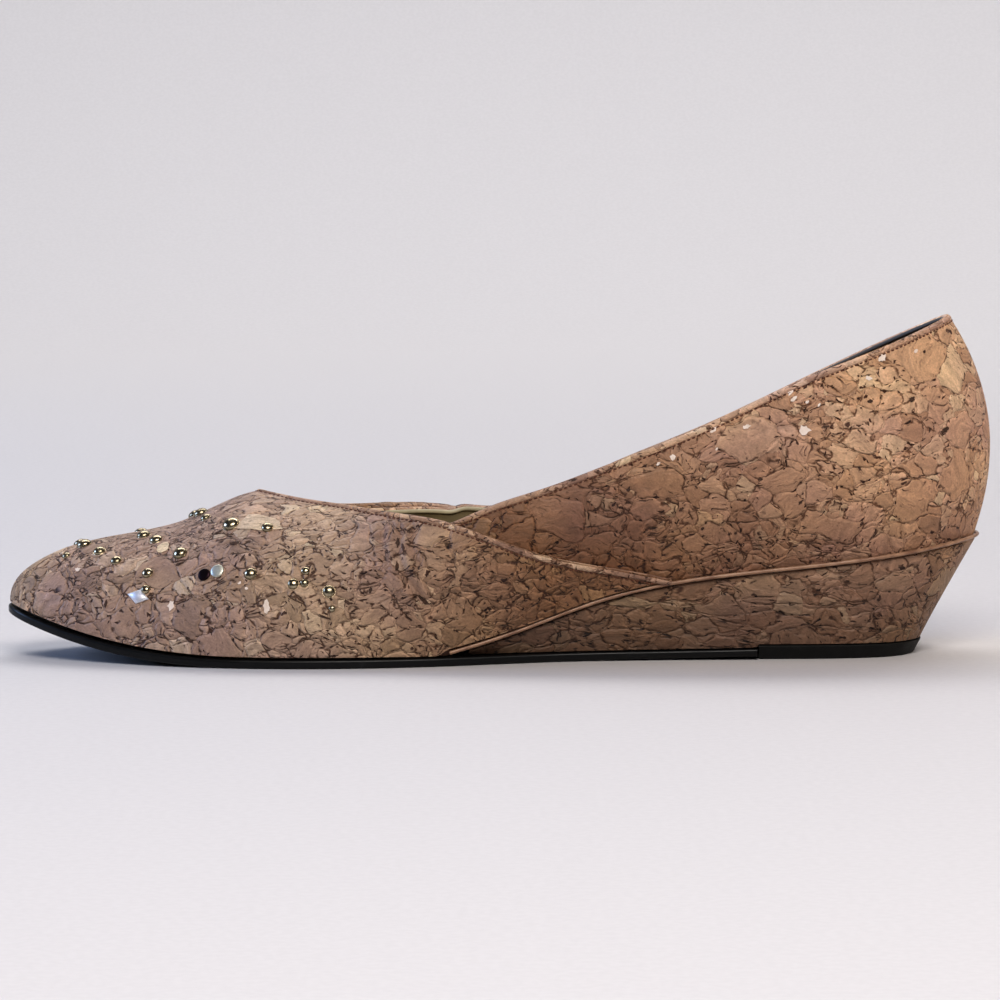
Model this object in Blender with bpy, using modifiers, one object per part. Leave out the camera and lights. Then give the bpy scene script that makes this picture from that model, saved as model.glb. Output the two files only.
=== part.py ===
"""Low wedge court shoe for the right foot, clad in pressed cork, with studs set over its vamp.

Metres, +Z up. The toe points to -X, the medial side of the foot is -Y, and the floor is Z = 0.
Every piece is worked out from one set of sections, as on a shoemaker's last.
"""

import math
from collections import namedtuple

import bmesh
import bpy
import numpy as np
from mathutils import Vector

# Driving dimensions
LENGTH = 0.256
BALL_WIDTH = 0.078
HEEL_HEIGHT = 0.0295
BACK_HEIGHT = 0.0872
THROAT_HEIGHT = 0.0425
TOE_SPRING = 0.0112
AXIS_Y = -0.0022

# Thicknesses and fits
FIT_GAP = 0.0003
UPPER_WALL = 0.0015
VAMP_WALL = 0.0008
VAMP_GAP = 0.0006
VAMP_PROUD = VAMP_GAP + VAMP_WALL
INSOLE_THICK = 0.0018
OUTSOLE_THICK = 0.0023
WAIST_THICK = 0.0020
LIFT_THICK = 0.0037
PIPING_RADIUS = 0.0006

# Places along the shoe, as shares of its length from the toe
FLAT_START = 0.25
FLAT_END = 0.42
WAIST_END = 0.60
PIPING_START = 0.450
WEDGE_START = 0.470
BREAST = 0.760
WEDGE_BACK_FOOT = 0.929

# Plan offsets from the foot of the upper, the lean of the wedge, and the rise of the waist
INSOLE_INSET = 0.0024
WELT_MARGIN = 0.0020
PIPING_OFFSET = 0.00115
WEDGE_LEDGE = 0.0004
WEDGE_TAPER = 0.0020
WEDGE_EDGE = 0.0003
HEEL_BLUNTNESS = 1.5
LIFT_BEVEL = 0.0014
BREAST_GAP = 0.0004
WAIST_RISE = 0.0009
SPRING_POWER = 2.3

# Fullness of a section's curve: the shares of its rise and reach that its handles take
LOW_HANDLE = 0.30
LOW_HANDLE_VAMP = 0.25
HIGH_HANDLE_REACH = 0.55
HIGH_HANDLE_RISE = 0.40

# How finely the surfaces are divided
RIBS_PER_ROW = 3
STEPS_UP = 8
VAMP_SLANT_RIBS = 18
STUD_SIDES = 8
PIPING_STEPS = 28

# Sections from the toe to the back of the heel. along and top_along are shares of LENGTH, the widths are
# shares of BALL_WIDTH from the axis, face is the plan direction that the wall looks in (0 is to the toe),
# flare is its outward lean at the foot, and lean is its inward lean at the top (90 is level).
Section = namedtuple("Section", "along medial lateral top_along top_medial top_lateral face flare lean")
SECTIONS = [
    Section(0.0078, 0.000, 0.000, 0.0625, 0.000, 0.000, 0, 5, 68.2),
    Section(0.0140, 0.063, 0.068, 0.0625, 0.000, 0.000, 35, 5, 71.9),
    Section(0.0370, 0.134, 0.145, 0.0625, 0.000, 0.000, 62, 5, 79.4),
    Section(0.0720, 0.210, 0.226, 0.0720, 0.000, 0.000, 76, 5, 84.7),
    Section(0.1190, 0.289, 0.316, 0.1190, 0.000, 0.000, 80, 5, 87.5),
    Section(0.1720, 0.358, 0.395, 0.1720, 0.000, 0.000, 84, 5, 88.5),
    Section(0.2150, 0.400, 0.440, 0.2150, 0.000, 0.000, 86, 6, 88.2),
    Section(0.2563, 0.429, 0.473, 0.2563, 0.000, 0.000, 88, 6, 89.0),
    Section(0.2970, 0.444, 0.495, 0.2970, 0.079, 0.084, 89, 7, 80),
    Section(0.3520, 0.444, 0.503, 0.3520, 0.184, 0.197, 90, 8, 66),
    Section(0.4020, 0.428, 0.492, 0.4020, 0.294, 0.312, 90, 10, 47),
    Section(0.4504, 0.400, 0.471, 0.4504, 0.376, 0.396, 90, 14, 34),
    Section(0.5160, 0.361, 0.434, 0.5160, 0.394, 0.422, 90, 17, 23),
    Section(0.5860, 0.332, 0.395, 0.5860, 0.377, 0.401, 90, 18, 18),
    Section(0.6760, 0.319, 0.361, 0.6760, 0.355, 0.369, 90, 18, 16),
    Section(0.7660, 0.324, 0.345, 0.7660, 0.336, 0.342, 93, 17, 16),
    Section(0.8440, 0.322, 0.329, 0.8385, 0.301, 0.304, 102, 17, 19),
    Section(0.9100, 0.274, 0.276, 0.8988, 0.232, 0.232, 124, 18, 25),
    Section(0.9530, 0.183, 0.183, 0.9360, 0.138, 0.138, 146, 19, 31),
    Section(0.9770, 0.088, 0.088, 0.9534, 0.060, 0.060, 165, 19, 34),
    Section(0.9835, 0.000, 0.000, 0.9575, 0.000, 0.000, 180, 19, 34.5),
]
POLE_ROW = 2
THROAT_ROW = 7
NOTCH_ROW = 11
NOTCH_DROP = 3

# Side lines: height of the seat as a share of HEEL_HEIGHT, of the vamp's ridge and edge as shares of
# THROAT_HEIGHT, and of the topline as a share of BACK_HEIGHT. The lateral side of the opening drops lower.
Height = namedtuple("Height", "along share")
SEAT_LINE = [
    Height(0.443, 0.080), Height(0.512, 0.252), Height(0.590, 0.492), Height(0.652, 0.632),
    Height(0.762, 0.764), Height(0.902, 0.896), Height(0.984, 1.000),
]
RIDGE_LINE = [
    Height(0.0625, 0.663), Height(0.0938, 0.712), Height(0.1445, 0.764), Height(0.1758, 0.809),
    Height(0.2164, 0.917), Height(0.2367, 0.969), Height(0.2563, 1.000),
]
VAMP_EDGE = [
    Height(0.2563, 1.000), Height(0.2938, 0.969), Height(0.3500, 0.941), Height(0.4020, 0.918),
    Height(0.4504, 0.882), Height(0.5430, 0.682), Height(0.6210, 0.567), Height(0.6950, 0.461),
]
TOPLINE = [
    Height(0.4504, 0.414), Height(0.5020, 0.478), Height(0.5420, 0.514), Height(0.6020, 0.577),
    Height(0.7010, 0.690), Height(0.8010, 0.824), Height(0.8830, 0.914), Height(0.9575, 1.000),
]
Drop = namedtuple("Drop", "along drop")
LATERAL_DROP = [
    Drop(0.2563, 0.0000), Drop(0.3500, 0.0017), Drop(0.4020, 0.0015), Drop(0.4504, 0.0012),
    Drop(0.5020, 0.0051), Drop(0.6020, 0.0048), Drop(0.8010, 0.0039), Drop(0.8830, 0.0019),
    Drop(0.9575, 0.0000),
]

# Studs of one side: along is a share of LENGTH, up is how far they sit from the sole (0) to the ridge (1).
Stud = namedtuple("Stud", "along up diameter kind")
STUDS = [
    Stud(0.065, 0.75, 0.0020, "dome"), Stud(0.085, 0.90, 0.0042, "dome"), Stud(0.103, 0.72, 0.0030, "dome"),
    Stud(0.120, 0.59, 0.0028, "dome"), Stud(0.143, 0.86, 0.0034, "dome"), Stud(0.158, 0.76, 0.0032, "dome"),
    Stud(0.152, 0.47, 0.0026, "dome"), Stud(0.154, 0.36, 0.0024, "dome"), Stud(0.143, 0.31, 0.0040, "stone"),
    Stud(0.185, 0.58, 0.0036, "dome"), Stud(0.200, 0.97, 0.0042, "dome"), Stud(0.208, 0.83, 0.0030, "dome"),
    Stud(0.210, 0.40, 0.0030, "dark"), Stud(0.223, 0.40, 0.0032, "disc"), Stud(0.235, 0.66, 0.0044, "dome"),
    Stud(0.255, 0.36, 0.0028, "dome"), Stud(0.270, 0.63, 0.0028, "dome"), Stud(0.297, 0.35, 0.0021, "dome"),
    Stud(0.305, 0.37, 0.0020, "dome"), Stud(0.307, 0.42, 0.0020, "dome"), Stud(0.332, 0.34, 0.0028, "dome"),
    Stud(0.335, 0.25, 0.0016, "dome"),
]
DOME_RISE = 0.28
DISC_RISE = 0.16
LATERAL_SHIFT = -0.006
LATERAL_SCALE = 0.96


def along_to_x(along):
    """X of a place given as a share of the length from the toe."""
    return (along - 0.5) * LENGTH


def x_to_along(x):
    return x / LENGTH + 0.5


def spline(knots, values, at):
    """Natural cubic spline through values at knots, read at one or more places."""
    knots, values, at = (np.asarray(data, float) for data in (knots, values, at))
    steps, rises = np.diff(knots), np.diff(values)
    matrix, right = np.eye(len(knots)), np.zeros(len(knots))
    for i in range(1, len(knots) - 1):
        matrix[i, i - 1 : i + 2] = steps[i - 1], 2 * (steps[i - 1] + steps[i]), steps[i]
        right[i] = 6 * (rises[i] / steps[i] - rises[i - 1] / steps[i - 1])
    bends = np.linalg.solve(matrix, right)
    i = np.clip(np.searchsorted(knots, at, side="right") - 1, 0, len(steps) - 1)
    step = steps[i]
    late, early = (at - knots[i]) / step, (knots[i + 1] - at) / step
    curved = ((early**3 - early) * bends[i] + (late**3 - late) * bends[i + 1]) * step**2 / 6
    return early * values[i] + late * values[i + 1] + curved


def line_height(table, along, scale):
    """Height on a side line whose rows start with along and share."""
    rows = np.array([row[:2] for row in table])
    return spline(rows[:, 0], rows[:, 1], along) * scale


def smooth_step(low, high, value):
    share = np.clip((value - low) / (high - low), 0, 1)
    return share * share * (3 - 2 * share)


def sole_bottom(along):
    """Height of the outsole's underside: toe spring, a flat tread under the ball, and a raised waist."""
    spring = TOE_SPRING * np.clip((FLAT_START - along) / FLAT_START, 0, 1) ** SPRING_POWER
    return spring + WAIST_RISE * np.clip((along - FLAT_END) / (BREAST - FLAT_END), 0, 1) ** 2


def outsole_top(along):
    thickness = OUTSOLE_THICK + (WAIST_THICK - OUTSOLE_THICK) * smooth_step(FLAT_END, BREAST, along)
    return sole_bottom(along) + thickness


def feather(along):
    """Height of the foot of the upper: just clear of the outsole in front, and on the wedge behind."""
    seat = line_height(SEAT_LINE, np.maximum(along, SEAT_LINE[0].along), HEEL_HEIGHT)
    return np.maximum(seat, outsole_top(along - WELT_MARGIN / LENGTH) + FIT_GAP)


def wedge_bottom(along):
    """Height of the wedge's underside: just clear of the outsole, then of the heel lift."""
    return np.where(along < BREAST, outsole_top(along), LIFT_THICK) + FIT_GAP


def rib_rows():
    """Section rows with a mirrored one before the toe and after the heel, and their places round the outline."""
    table = np.array(SECTIONS)
    mirror = np.array([1, -1, -1, 1, -1, -1, -1, 1, 1.0])
    before, after = table[1] * mirror, table[-2] * mirror
    after[6] += 360
    table = np.vstack([before, table, after])
    widths = (table[:, 1] + table[:, 2]) / 2 * BALL_WIDTH
    steps = np.hypot(np.diff(table[:, 0] * LENGTH), np.diff(widths))
    places = np.concatenate([[0], np.cumsum(steps)])
    return table, places - places[1]


RIB_TABLE, RIB_PLACES = rib_rows()
ROW_PLACES = RIB_PLACES[1:-1]
THROAT_PLACE = ROW_PLACES[THROAT_ROW]
NOTCH_PLACE = ROW_PLACES[NOTCH_ROW]


def section_at(place):
    """The section at a place round the outline, each column on its own spline."""
    section = Section(*(float(spline(RIB_PLACES, column, place)) for column in RIB_TABLE.T))
    if place <= THROAT_PLACE:
        section = section._replace(top_medial=0.0, top_lateral=0.0)
    if place <= ROW_PLACES[POLE_ROW]:
        section = section._replace(top_along=SECTIONS[0].top_along)
    return section


def top_height(place, along, side):
    """Height of a section's top: on the vamp's ridge, or on the higher of the vamp's edge and the topline."""
    if place <= THROAT_PLACE:
        return line_height(RIDGE_LINE, along, THROAT_HEIGHT) - VAMP_PROUD
    drop = line_height(LATERAL_DROP, along, 1.0) if side > 0 else 0.0
    if along < TOPLINE[0].along:
        return line_height(VAMP_EDGE, along, THROAT_HEIGHT) - VAMP_PROUD - drop
    return line_height(TOPLINE, along, BACK_HEIGHT) - drop


def rib(place, side):
    """Control points of the curve that a section takes from its foot to its top, on side -1 or 1."""
    section = section_at(place)
    width, top_width = section.medial, section.top_medial
    if side > 0:
        width, top_width = section.lateral, section.top_lateral
    foot_y, top_y = (AXIS_Y + side * share * BALL_WIDTH for share in (width, top_width))
    foot = np.array([along_to_x(section.along), foot_y, feather(section.along)])
    top = np.array([along_to_x(section.top_along), top_y, top_height(place, section.top_along, side)])
    face, flare, lean = (math.radians(angle) for angle in (section.face, section.flare, section.lean))
    outward = np.array([-math.cos(face), side * math.sin(face), 0.0])
    upward = np.array([0.0, 0.0, 1.0])
    rise, reach = top[2] - foot[2], math.dist(foot[:2], top[:2])
    low = rise * (LOW_HANDLE + LOW_HANDLE_VAMP * section.lean / 90)
    high = HIGH_HANDLE_REACH * reach * math.sin(lean) + HIGH_HANDLE_RISE * rise * math.cos(lean)
    low_handle = foot + low * (outward * math.sin(flare) + upward * math.cos(flare))
    high_handle = top + high * (outward * math.sin(lean) - upward * math.cos(lean))
    return np.array([foot, low_handle, high_handle, top])


def along_rib(controls, up):
    """Points on a rib's curve at shares up of the way from its foot to its top."""
    up = np.asarray(up, float)[..., None]
    foot, low, high, top = controls
    return (1 - up) ** 3 * foot + 3 * (1 - up) ** 2 * up * low + 3 * (1 - up) * up**2 * high + up**3 * top


def surface(place, up, side):
    return along_rib(rib(place, side), up)


def rib_places(first, last):
    """Places of the ribs between two section rows, RIBS_PER_ROW to a row."""
    rows = np.arange(first * RIBS_PER_ROW, last * RIBS_PER_ROW + 1) / RIBS_PER_ROW
    return np.interp(rows, np.arange(len(ROW_PLACES)), ROW_PLACES)


def place_at(along):
    """Place round the outline where the foot of the upper passes a share of the length."""
    places = np.linspace(ROW_PLACES[0], ROW_PLACES[-1], 800)
    return float(np.interp(along, spline(RIB_PLACES, RIB_TABLE[:, 0], places), places))


def places_from(start, end):
    """Rib places from one place to another, both included."""
    ribs = rib_places(0, len(SECTIONS) - 1)
    margin = 0.001
    inside = ribs[(ribs > start + margin) & (ribs < end - margin)]
    return np.concatenate([[start], inside, [end]])


def foot_outline(places, side, offset):
    """Plan points of the upper's foot on one side, moved outwards by offset."""
    step = 1e-5
    ahead, points, behind = (
        np.array([surface(place + shift, 0.0, side)[:2] for place in places]) for shift in (step, 0, -step)
    )
    tangent = (ahead - behind) / np.linalg.norm(ahead - behind, axis=1, keepdims=True)
    outward = np.column_stack([-tangent[:, 1], tangent[:, 0]]) * side
    return points + outward * np.reshape(offset, (-1, 1))


def wedge_foot(places, side, margin):
    """Plan points of the wedge's lower edge: drawn in from its top, most of all at the back."""
    points = foot_outline(places, side, WEDGE_LEDGE - WEDGE_TAPER + margin)
    start = along_to_x(BREAST)
    back = along_to_x(SECTIONS[-1].along) + WEDGE_LEDGE - WEDGE_TAPER + margin
    behind = np.clip((points[:, 0] - start) / (back - start), 0, 1)
    drawn = start + (along_to_x(WEDGE_BACK_FOOT) + margin - start) * (1 - (1 - behind) ** HEEL_BLUNTNESS)
    points[:, 0] = np.where(behind > 0, drawn, points[:, 0])
    return points


def make_material(name, colour, roughness, metallic=0.0):
    material = bpy.data.materials.new(name)
    material.use_nodes = True
    shader = material.node_tree.nodes["Principled BSDF"]
    shader.inputs["Base Color"].default_value = (*colour, 1.0)
    shader.inputs["Roughness"].default_value = roughness
    shader.inputs["Metallic"].default_value = metallic
    material.diffuse_color = (*colour, 1.0)
    return material


def add_object(name, data, material, collection):
    piece = bpy.data.objects.new(name, data)
    if not data.materials:
        data.materials.append(material)
    collection.objects.link(piece)
    return piece


def mesh_from_grids(name, grids):
    """One mesh from grids of points, each (points, turned): a turned grid has its faces the other way round."""
    builder = bmesh.new()
    for points, turned in grids:
        rows = [[builder.verts.new(point) for point in row] for row in points]
        for low, high in zip(rows, rows[1:]):
            for i in range(len(low) - 1):
                corners = [low[i], high[i], high[i + 1], low[i + 1]]
                builder.faces.new(corners[::-1] if turned else corners)
    bmesh.ops.remove_doubles(builder, verts=builder.verts, dist=1e-6)
    mesh = bpy.data.meshes.new(name)
    builder.to_mesh(mesh)
    builder.free()
    return mesh


def soften(mesh):
    """Smooth shading, with the true edges kept sharp."""
    mesh.shade_smooth()
    mesh.set_sharp_from_angle(angle=math.radians(40))
    return mesh


def add_thickness(piece, thickness, offset):
    shell = piece.modifiers.new("wall", "SOLIDIFY")
    shell.thickness = thickness
    shell.offset = offset
    shell.use_even_offset = True
    return piece


def make_upper(material, collection):
    """The whole upper in one hollow wall: quarter, sides and the layer that the vamp covers."""
    ups = np.linspace(0, 1, STEPS_UP + 1)
    places = rib_places(0, len(SECTIONS) - 1)
    grids = [(np.array([surface(place, ups, side) for place in places]), side > 0) for side in (-1, 1)]
    piece = add_object("upper", soften(mesh_from_grids("upper", grids)), material, collection)
    return add_thickness(piece, UPPER_WALL, -1)


def vamp_end(up, side):
    """Place where the vamp's rear edge crosses the surface at a share up of the ribs, found by halving."""
    low, high = NOTCH_PLACE, place_at(VAMP_EDGE[-1].along)
    for _ in range(30):
        middle = (low + high) / 2
        point = surface(middle, up, side)
        along = x_to_along(point[0])
        edge = line_height(VAMP_EDGE, along, THROAT_HEIGHT) - VAMP_PROUD
        if side > 0:
            share = smooth_step(VAMP_EDGE[-1].along, SECTIONS[NOTCH_ROW].along, along)
            edge -= LATERAL_DROP[NOTCH_DROP].drop * share
        low, high = (low, middle) if point[2] > edge else (middle, high)
    return low


def vamp_foot(place, side):
    """Share up a rib where the vamp starts: at the sole in front, and above the piping on the wedge."""
    on_wedge = smooth_step(PIPING_START - 0.014, PIPING_START, section_at(place).along)
    room = FIT_GAP + (2 * PIPING_RADIUS + FIT_GAP) * on_wedge
    return room / (surface(place, 1.0, side)[2] - surface(place, 0.0, side)[2])


def vamp_grid(side):
    """Points of the vamp on the upper's surface. Behind the throat its ribs slant back to its rear edge."""
    ups = np.linspace(0, 1, STEPS_UP + 1)
    ends = [vamp_end(up, side) for up in ups]
    front = [[place] * len(ups) for place in rib_places(0, THROAT_ROW)]
    shares = np.arange(1, VAMP_SLANT_RIBS + 1) / VAMP_SLANT_RIBS
    slanted = [[THROAT_PLACE + (end - THROAT_PLACE) * share for end in ends] for share in shares]

    def point(place, up):
        first = vamp_foot(place, side)
        return surface(place, first + (1 - first) * up, side)

    return np.array([[point(place, up) for place, up in zip(column, ups)] for column in front + slanted])


def make_vamp(material, collection):
    """The vamp's cork layer, laid over the upper from the toe to its slanting rear edges."""
    mesh = soften(mesh_from_grids("vamp", [(vamp_grid(side), side > 0) for side in (-1, 1)]))
    piece = add_object("vamp", mesh, material, collection)
    lift = piece.modifiers.new("lift", "DISPLACE")
    lift.mid_level = 0.0
    lift.strength = VAMP_GAP
    return add_thickness(piece, VAMP_WALL, 1)


def make_slab(name, top_edges, under_edges, low, high, material, collection):
    """A solid from low(along) to high(along), over the plan between its medial and lateral edges."""
    top_near, top_far = (np.column_stack([edge, high(x_to_along(edge[:, 0]))]) for edge in top_edges)
    low_near, low_far = (np.column_stack([edge, low(x_to_along(edge[:, 0]))]) for edge in under_edges)
    ring = np.array([top_near, top_far, low_far, low_near, top_near])
    first, last = (np.array([[top_near[i], low_near[i]], [top_far[i], low_far[i]]]) for i in (0, -1))
    mesh = mesh_from_grids(name, [(ring, True), (first, False), (last, True)])
    return add_object(name, soften(mesh), material, collection)


def insole_top(along):
    return feather(along) + INSOLE_THICK


def make_insole(material, collection):
    places = rib_places(0, len(SECTIONS) - 1)
    edges = [foot_outline(places, side, -INSOLE_INSET) for side in (-1, 1)]
    return make_slab("insole", edges, edges, feather, insole_top, material, collection)


def wedge_top(along):
    return feather(along) - FIT_GAP


def make_wedge(material, collection):
    places = places_from(place_at(WEDGE_START), ROW_PLACES[-1])
    tops = [foot_outline(places, side, WEDGE_LEDGE) for side in (-1, 1)]
    feet = [wedge_foot(places, side, 0.0) for side in (-1, 1)]
    return make_slab("wedge", tops, feet, wedge_bottom, wedge_top, material, collection)


def outsole_edge(places, side):
    """Plan points of the outsole: proud of the vamp in front, and drawn in to the wedge's foot behind."""
    front = foot_outline(places, side, WELT_MARGIN)
    back = wedge_foot(places, side, WEDGE_EDGE)
    alongs = np.array([section_at(place).along for place in places])
    share = smooth_step(FLAT_END, WAIST_END, alongs)[:, None]
    return front + (back - front) * share


def make_outsole(material, collection):
    places = places_from(ROW_PLACES[0], place_at(BREAST - BREAST_GAP / LENGTH))
    edges = [outsole_edge(places, side) for side in (-1, 1)]
    return make_slab("outsole", edges, edges, sole_bottom, outsole_top, material, collection)


def lift_top(along):
    return np.full_like(along, LIFT_THICK)


def make_heel_lift(material, collection):
    places = places_from(place_at(BREAST), ROW_PLACES[-1])
    tops = [wedge_foot(places, side, 0.0) for side in (-1, 1)]
    feet = [wedge_foot(places, side, -LIFT_BEVEL) for side in (-1, 1)]
    return make_slab("heel_lift", tops, feet, np.zeros_like, lift_top, material, collection)


def make_piping(material, collection):
    """A bead along the top of the wedge, from one side of the waist round the heel to the other."""
    places = np.linspace(place_at(PIPING_START), ROW_PLACES[-1], PIPING_STEPS + 1)
    medial, lateral = (foot_outline(places, side, PIPING_OFFSET) for side in (-1, 1))
    plan = np.vstack([medial, lateral[-2::-1]])
    heights = feather(x_to_along(plan[:, 0])) + PIPING_RADIUS
    curve = bpy.data.curves.new("wedge_piping", "CURVE")
    curve.dimensions = "3D"
    curve.bevel_depth = PIPING_RADIUS
    curve.bevel_resolution = 2
    curve.use_fill_caps = True
    path = curve.splines.new("POLY")
    path.points.add(len(plan) - 1)
    for point, (x, y), z in zip(path.points, plan, heights):
        point.co = (x, y, z, 1.0)
    return add_object("wedge_piping", curve, material, collection)


def turned_mesh(name, profile):
    """The outline of a turned piece as points and edges, ready for a Screw."""
    mesh = bpy.data.meshes.new(name)
    points = [(radius, 0.0, height) for radius, height in profile]
    edges = [(i, i + 1) for i in range(len(profile) - 1)]
    mesh.from_pydata(points, edges, [])
    return mesh


def stud_profile(diameter, kind):
    """Radius and height down a stud's outer side, from its crown to the middle of its base."""
    radius = diameter / 2
    flat = kind in ("disc", "dark")
    rise = diameter * (DISC_RISE if flat else DOME_RISE)
    if flat:
        return [(0, rise), (radius * 0.8, rise), (radius, rise * 0.6), (radius, 0), (0, 0)]
    if kind == "stone":
        return [(0, rise), (radius * 0.55, rise), (radius, rise * 0.35), (radius, 0), (0, 0)]
    turns = [math.radians(angle) for angle in (90, 55, 25, 0)]
    return [(radius * math.cos(turn), rise * math.sin(turn)) for turn in turns] + [(0, 0)]


def vamp_frame(along, up, side):
    """A point of the vamp's outer face and the direction out of it."""
    place, step = place_at(along), 1e-4
    across = surface(place + step, up, side) - surface(place - step, up, side)
    rising = surface(place, up + step, side) - surface(place, up - step, side)
    normal = np.cross(across, rising) * -side
    normal /= np.linalg.norm(normal)
    return surface(place, up, side) + normal * (VAMP_PROUD + FIT_GAP), normal


def make_studs(materials, collection):
    """The studs of both sides, each a turned solid that stands on the vamp."""
    number = 0
    for side in (-1, 1):
        for stud in STUDS:
            number += 1
            name = f"stud_{number:02d}"
            mesh = turned_mesh(name, stud_profile(stud.diameter, stud.kind))
            piece = add_object(name, mesh, materials[stud.kind], collection)
            along, up = stud.along, stud.up
            if side > 0:
                along, up = along + LATERAL_SHIFT, up * LATERAL_SCALE
            point, normal = vamp_frame(along, up, side)
            piece.location = point
            piece.rotation_mode = "QUATERNION"
            piece.rotation_quaternion = Vector((0, 0, 1)).rotation_difference(Vector(normal))
            turn = piece.modifiers.new("turn", "SCREW")
            turn.axis = "Z"
            turn.steps = turn.render_steps = 4 if stud.kind == "stone" else STUD_SIDES
            turn.use_merge_vertices = True
            turn.merge_threshold = 1e-5


def main():
    for old in list(bpy.data.objects):
        bpy.data.objects.remove(old)
    collection = bpy.data.collections.new("wedge_shoe")
    bpy.context.scene.collection.children.link(collection)
    cork = make_material("pressed_cork", (0.46, 0.31, 0.18), 0.7)
    black = make_material("black_rubber", (0.01, 0.01, 0.012), 0.35)
    tan = make_material("tan_leather", (0.42, 0.25, 0.13), 0.6)
    brass = make_material("brass", (0.75, 0.55, 0.25), 0.3, 1.0)
    stone = make_material("pale_glass", (0.8, 0.8, 0.82), 0.15)
    make_upper(cork, collection)
    make_vamp(make_material("pressed_cork_vamp", (0.50, 0.34, 0.20), 0.7), collection)
    make_insole(make_material("lining_leather", (0.12, 0.11, 0.09), 0.7), collection)
    make_wedge(make_material("pressed_cork_wedge", (0.44, 0.29, 0.16), 0.7), collection)
    make_piping(tan, collection)
    make_outsole(black, collection)
    make_heel_lift(make_material("black_lift_rubber", (0.012, 0.012, 0.012), 0.6), collection)
    dark = make_material("dark_brass", (0.05, 0.04, 0.04), 0.4, 1.0)
    make_studs({"dome": brass, "disc": brass, "dark": dark, "stone": stone}, collection)


main()
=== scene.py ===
"""Looks of a low wedge court shoe for the right foot: cork sheet, folded edges, studs and a black sole.

Metres, +Z up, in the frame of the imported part: the toe points to -X, the medial side is -Y and Z = 0 is the
floor.
"""

from __future__ import annotations

import logging
import math
from dataclasses import dataclass
from enum import Enum, IntEnum
from typing import Callable, NamedTuple, Sequence

import bmesh
import bpy
import numpy as np
from mathutils import Matrix, Vector
from mathutils.bvhtree import BVHTree


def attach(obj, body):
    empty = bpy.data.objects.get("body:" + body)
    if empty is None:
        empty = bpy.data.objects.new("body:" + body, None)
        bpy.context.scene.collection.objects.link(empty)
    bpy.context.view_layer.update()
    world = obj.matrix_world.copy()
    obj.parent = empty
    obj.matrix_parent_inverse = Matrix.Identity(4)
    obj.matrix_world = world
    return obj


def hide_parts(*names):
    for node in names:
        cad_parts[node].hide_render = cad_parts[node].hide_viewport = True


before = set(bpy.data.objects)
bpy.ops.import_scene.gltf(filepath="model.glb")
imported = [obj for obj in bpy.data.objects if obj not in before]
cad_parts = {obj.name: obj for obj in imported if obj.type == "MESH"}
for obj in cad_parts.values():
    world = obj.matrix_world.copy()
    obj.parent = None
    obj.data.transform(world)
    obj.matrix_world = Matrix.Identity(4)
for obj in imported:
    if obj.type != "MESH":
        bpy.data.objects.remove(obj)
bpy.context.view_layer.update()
LOG = logging.getLogger("wedge_shoe")
MM = 0.001
SMALL_ANGLE = 40.0
SOFT_ANGLE = 60.0
SOLE_ANGLE = 50.0
WELD = 2e-6
SLIVER = 1e-7
LEAST_STEPS = 4


class Side(IntEnum):
    """The two sides of the shoe, as signs of Y."""

    MEDIAL = -1
    LATERAL = 1


class StudKind(Enum):
    """The kinds of stud that are set over the vamp."""

    DOME = "dome"
    STONE = "stone"
    DARK = "dark"
    DISC = "disc"


class Slot(Enum):
    """The part's material slots."""

    CORK = "cork"
    LINING = "lining"
    PIPING = "piping"
    OUTSOLE = "outsole"
    LIFT = "lift"
    BRASS = "brass"
    DARK_BRASS = "dark_brass"
    STONE = "stone"


class Section(NamedTuple):
    """One section of the last: plan shares, heights' places, and the angles of its wall in degrees."""

    along: float
    medial: float
    lateral: float
    top_along: float
    top_medial: float
    top_lateral: float
    face: float
    flare: float
    lean: float


class Height(NamedTuple):
    """A point of a side line: a share of the length and a share of the line's full height."""

    along: float
    share: float


class Stud(NamedTuple):
    """A stud: its share along and up the vamp, its diameter and its kind."""

    along: float
    up: float
    diameter: float
    kind: StudKind


class Fleck(NamedTuple):
    """A flake or speck in the cork: its share along, height, length and width in mm, and slant in degrees."""

    along: float
    height: float
    long: float
    wide: float
    slant: float


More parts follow.
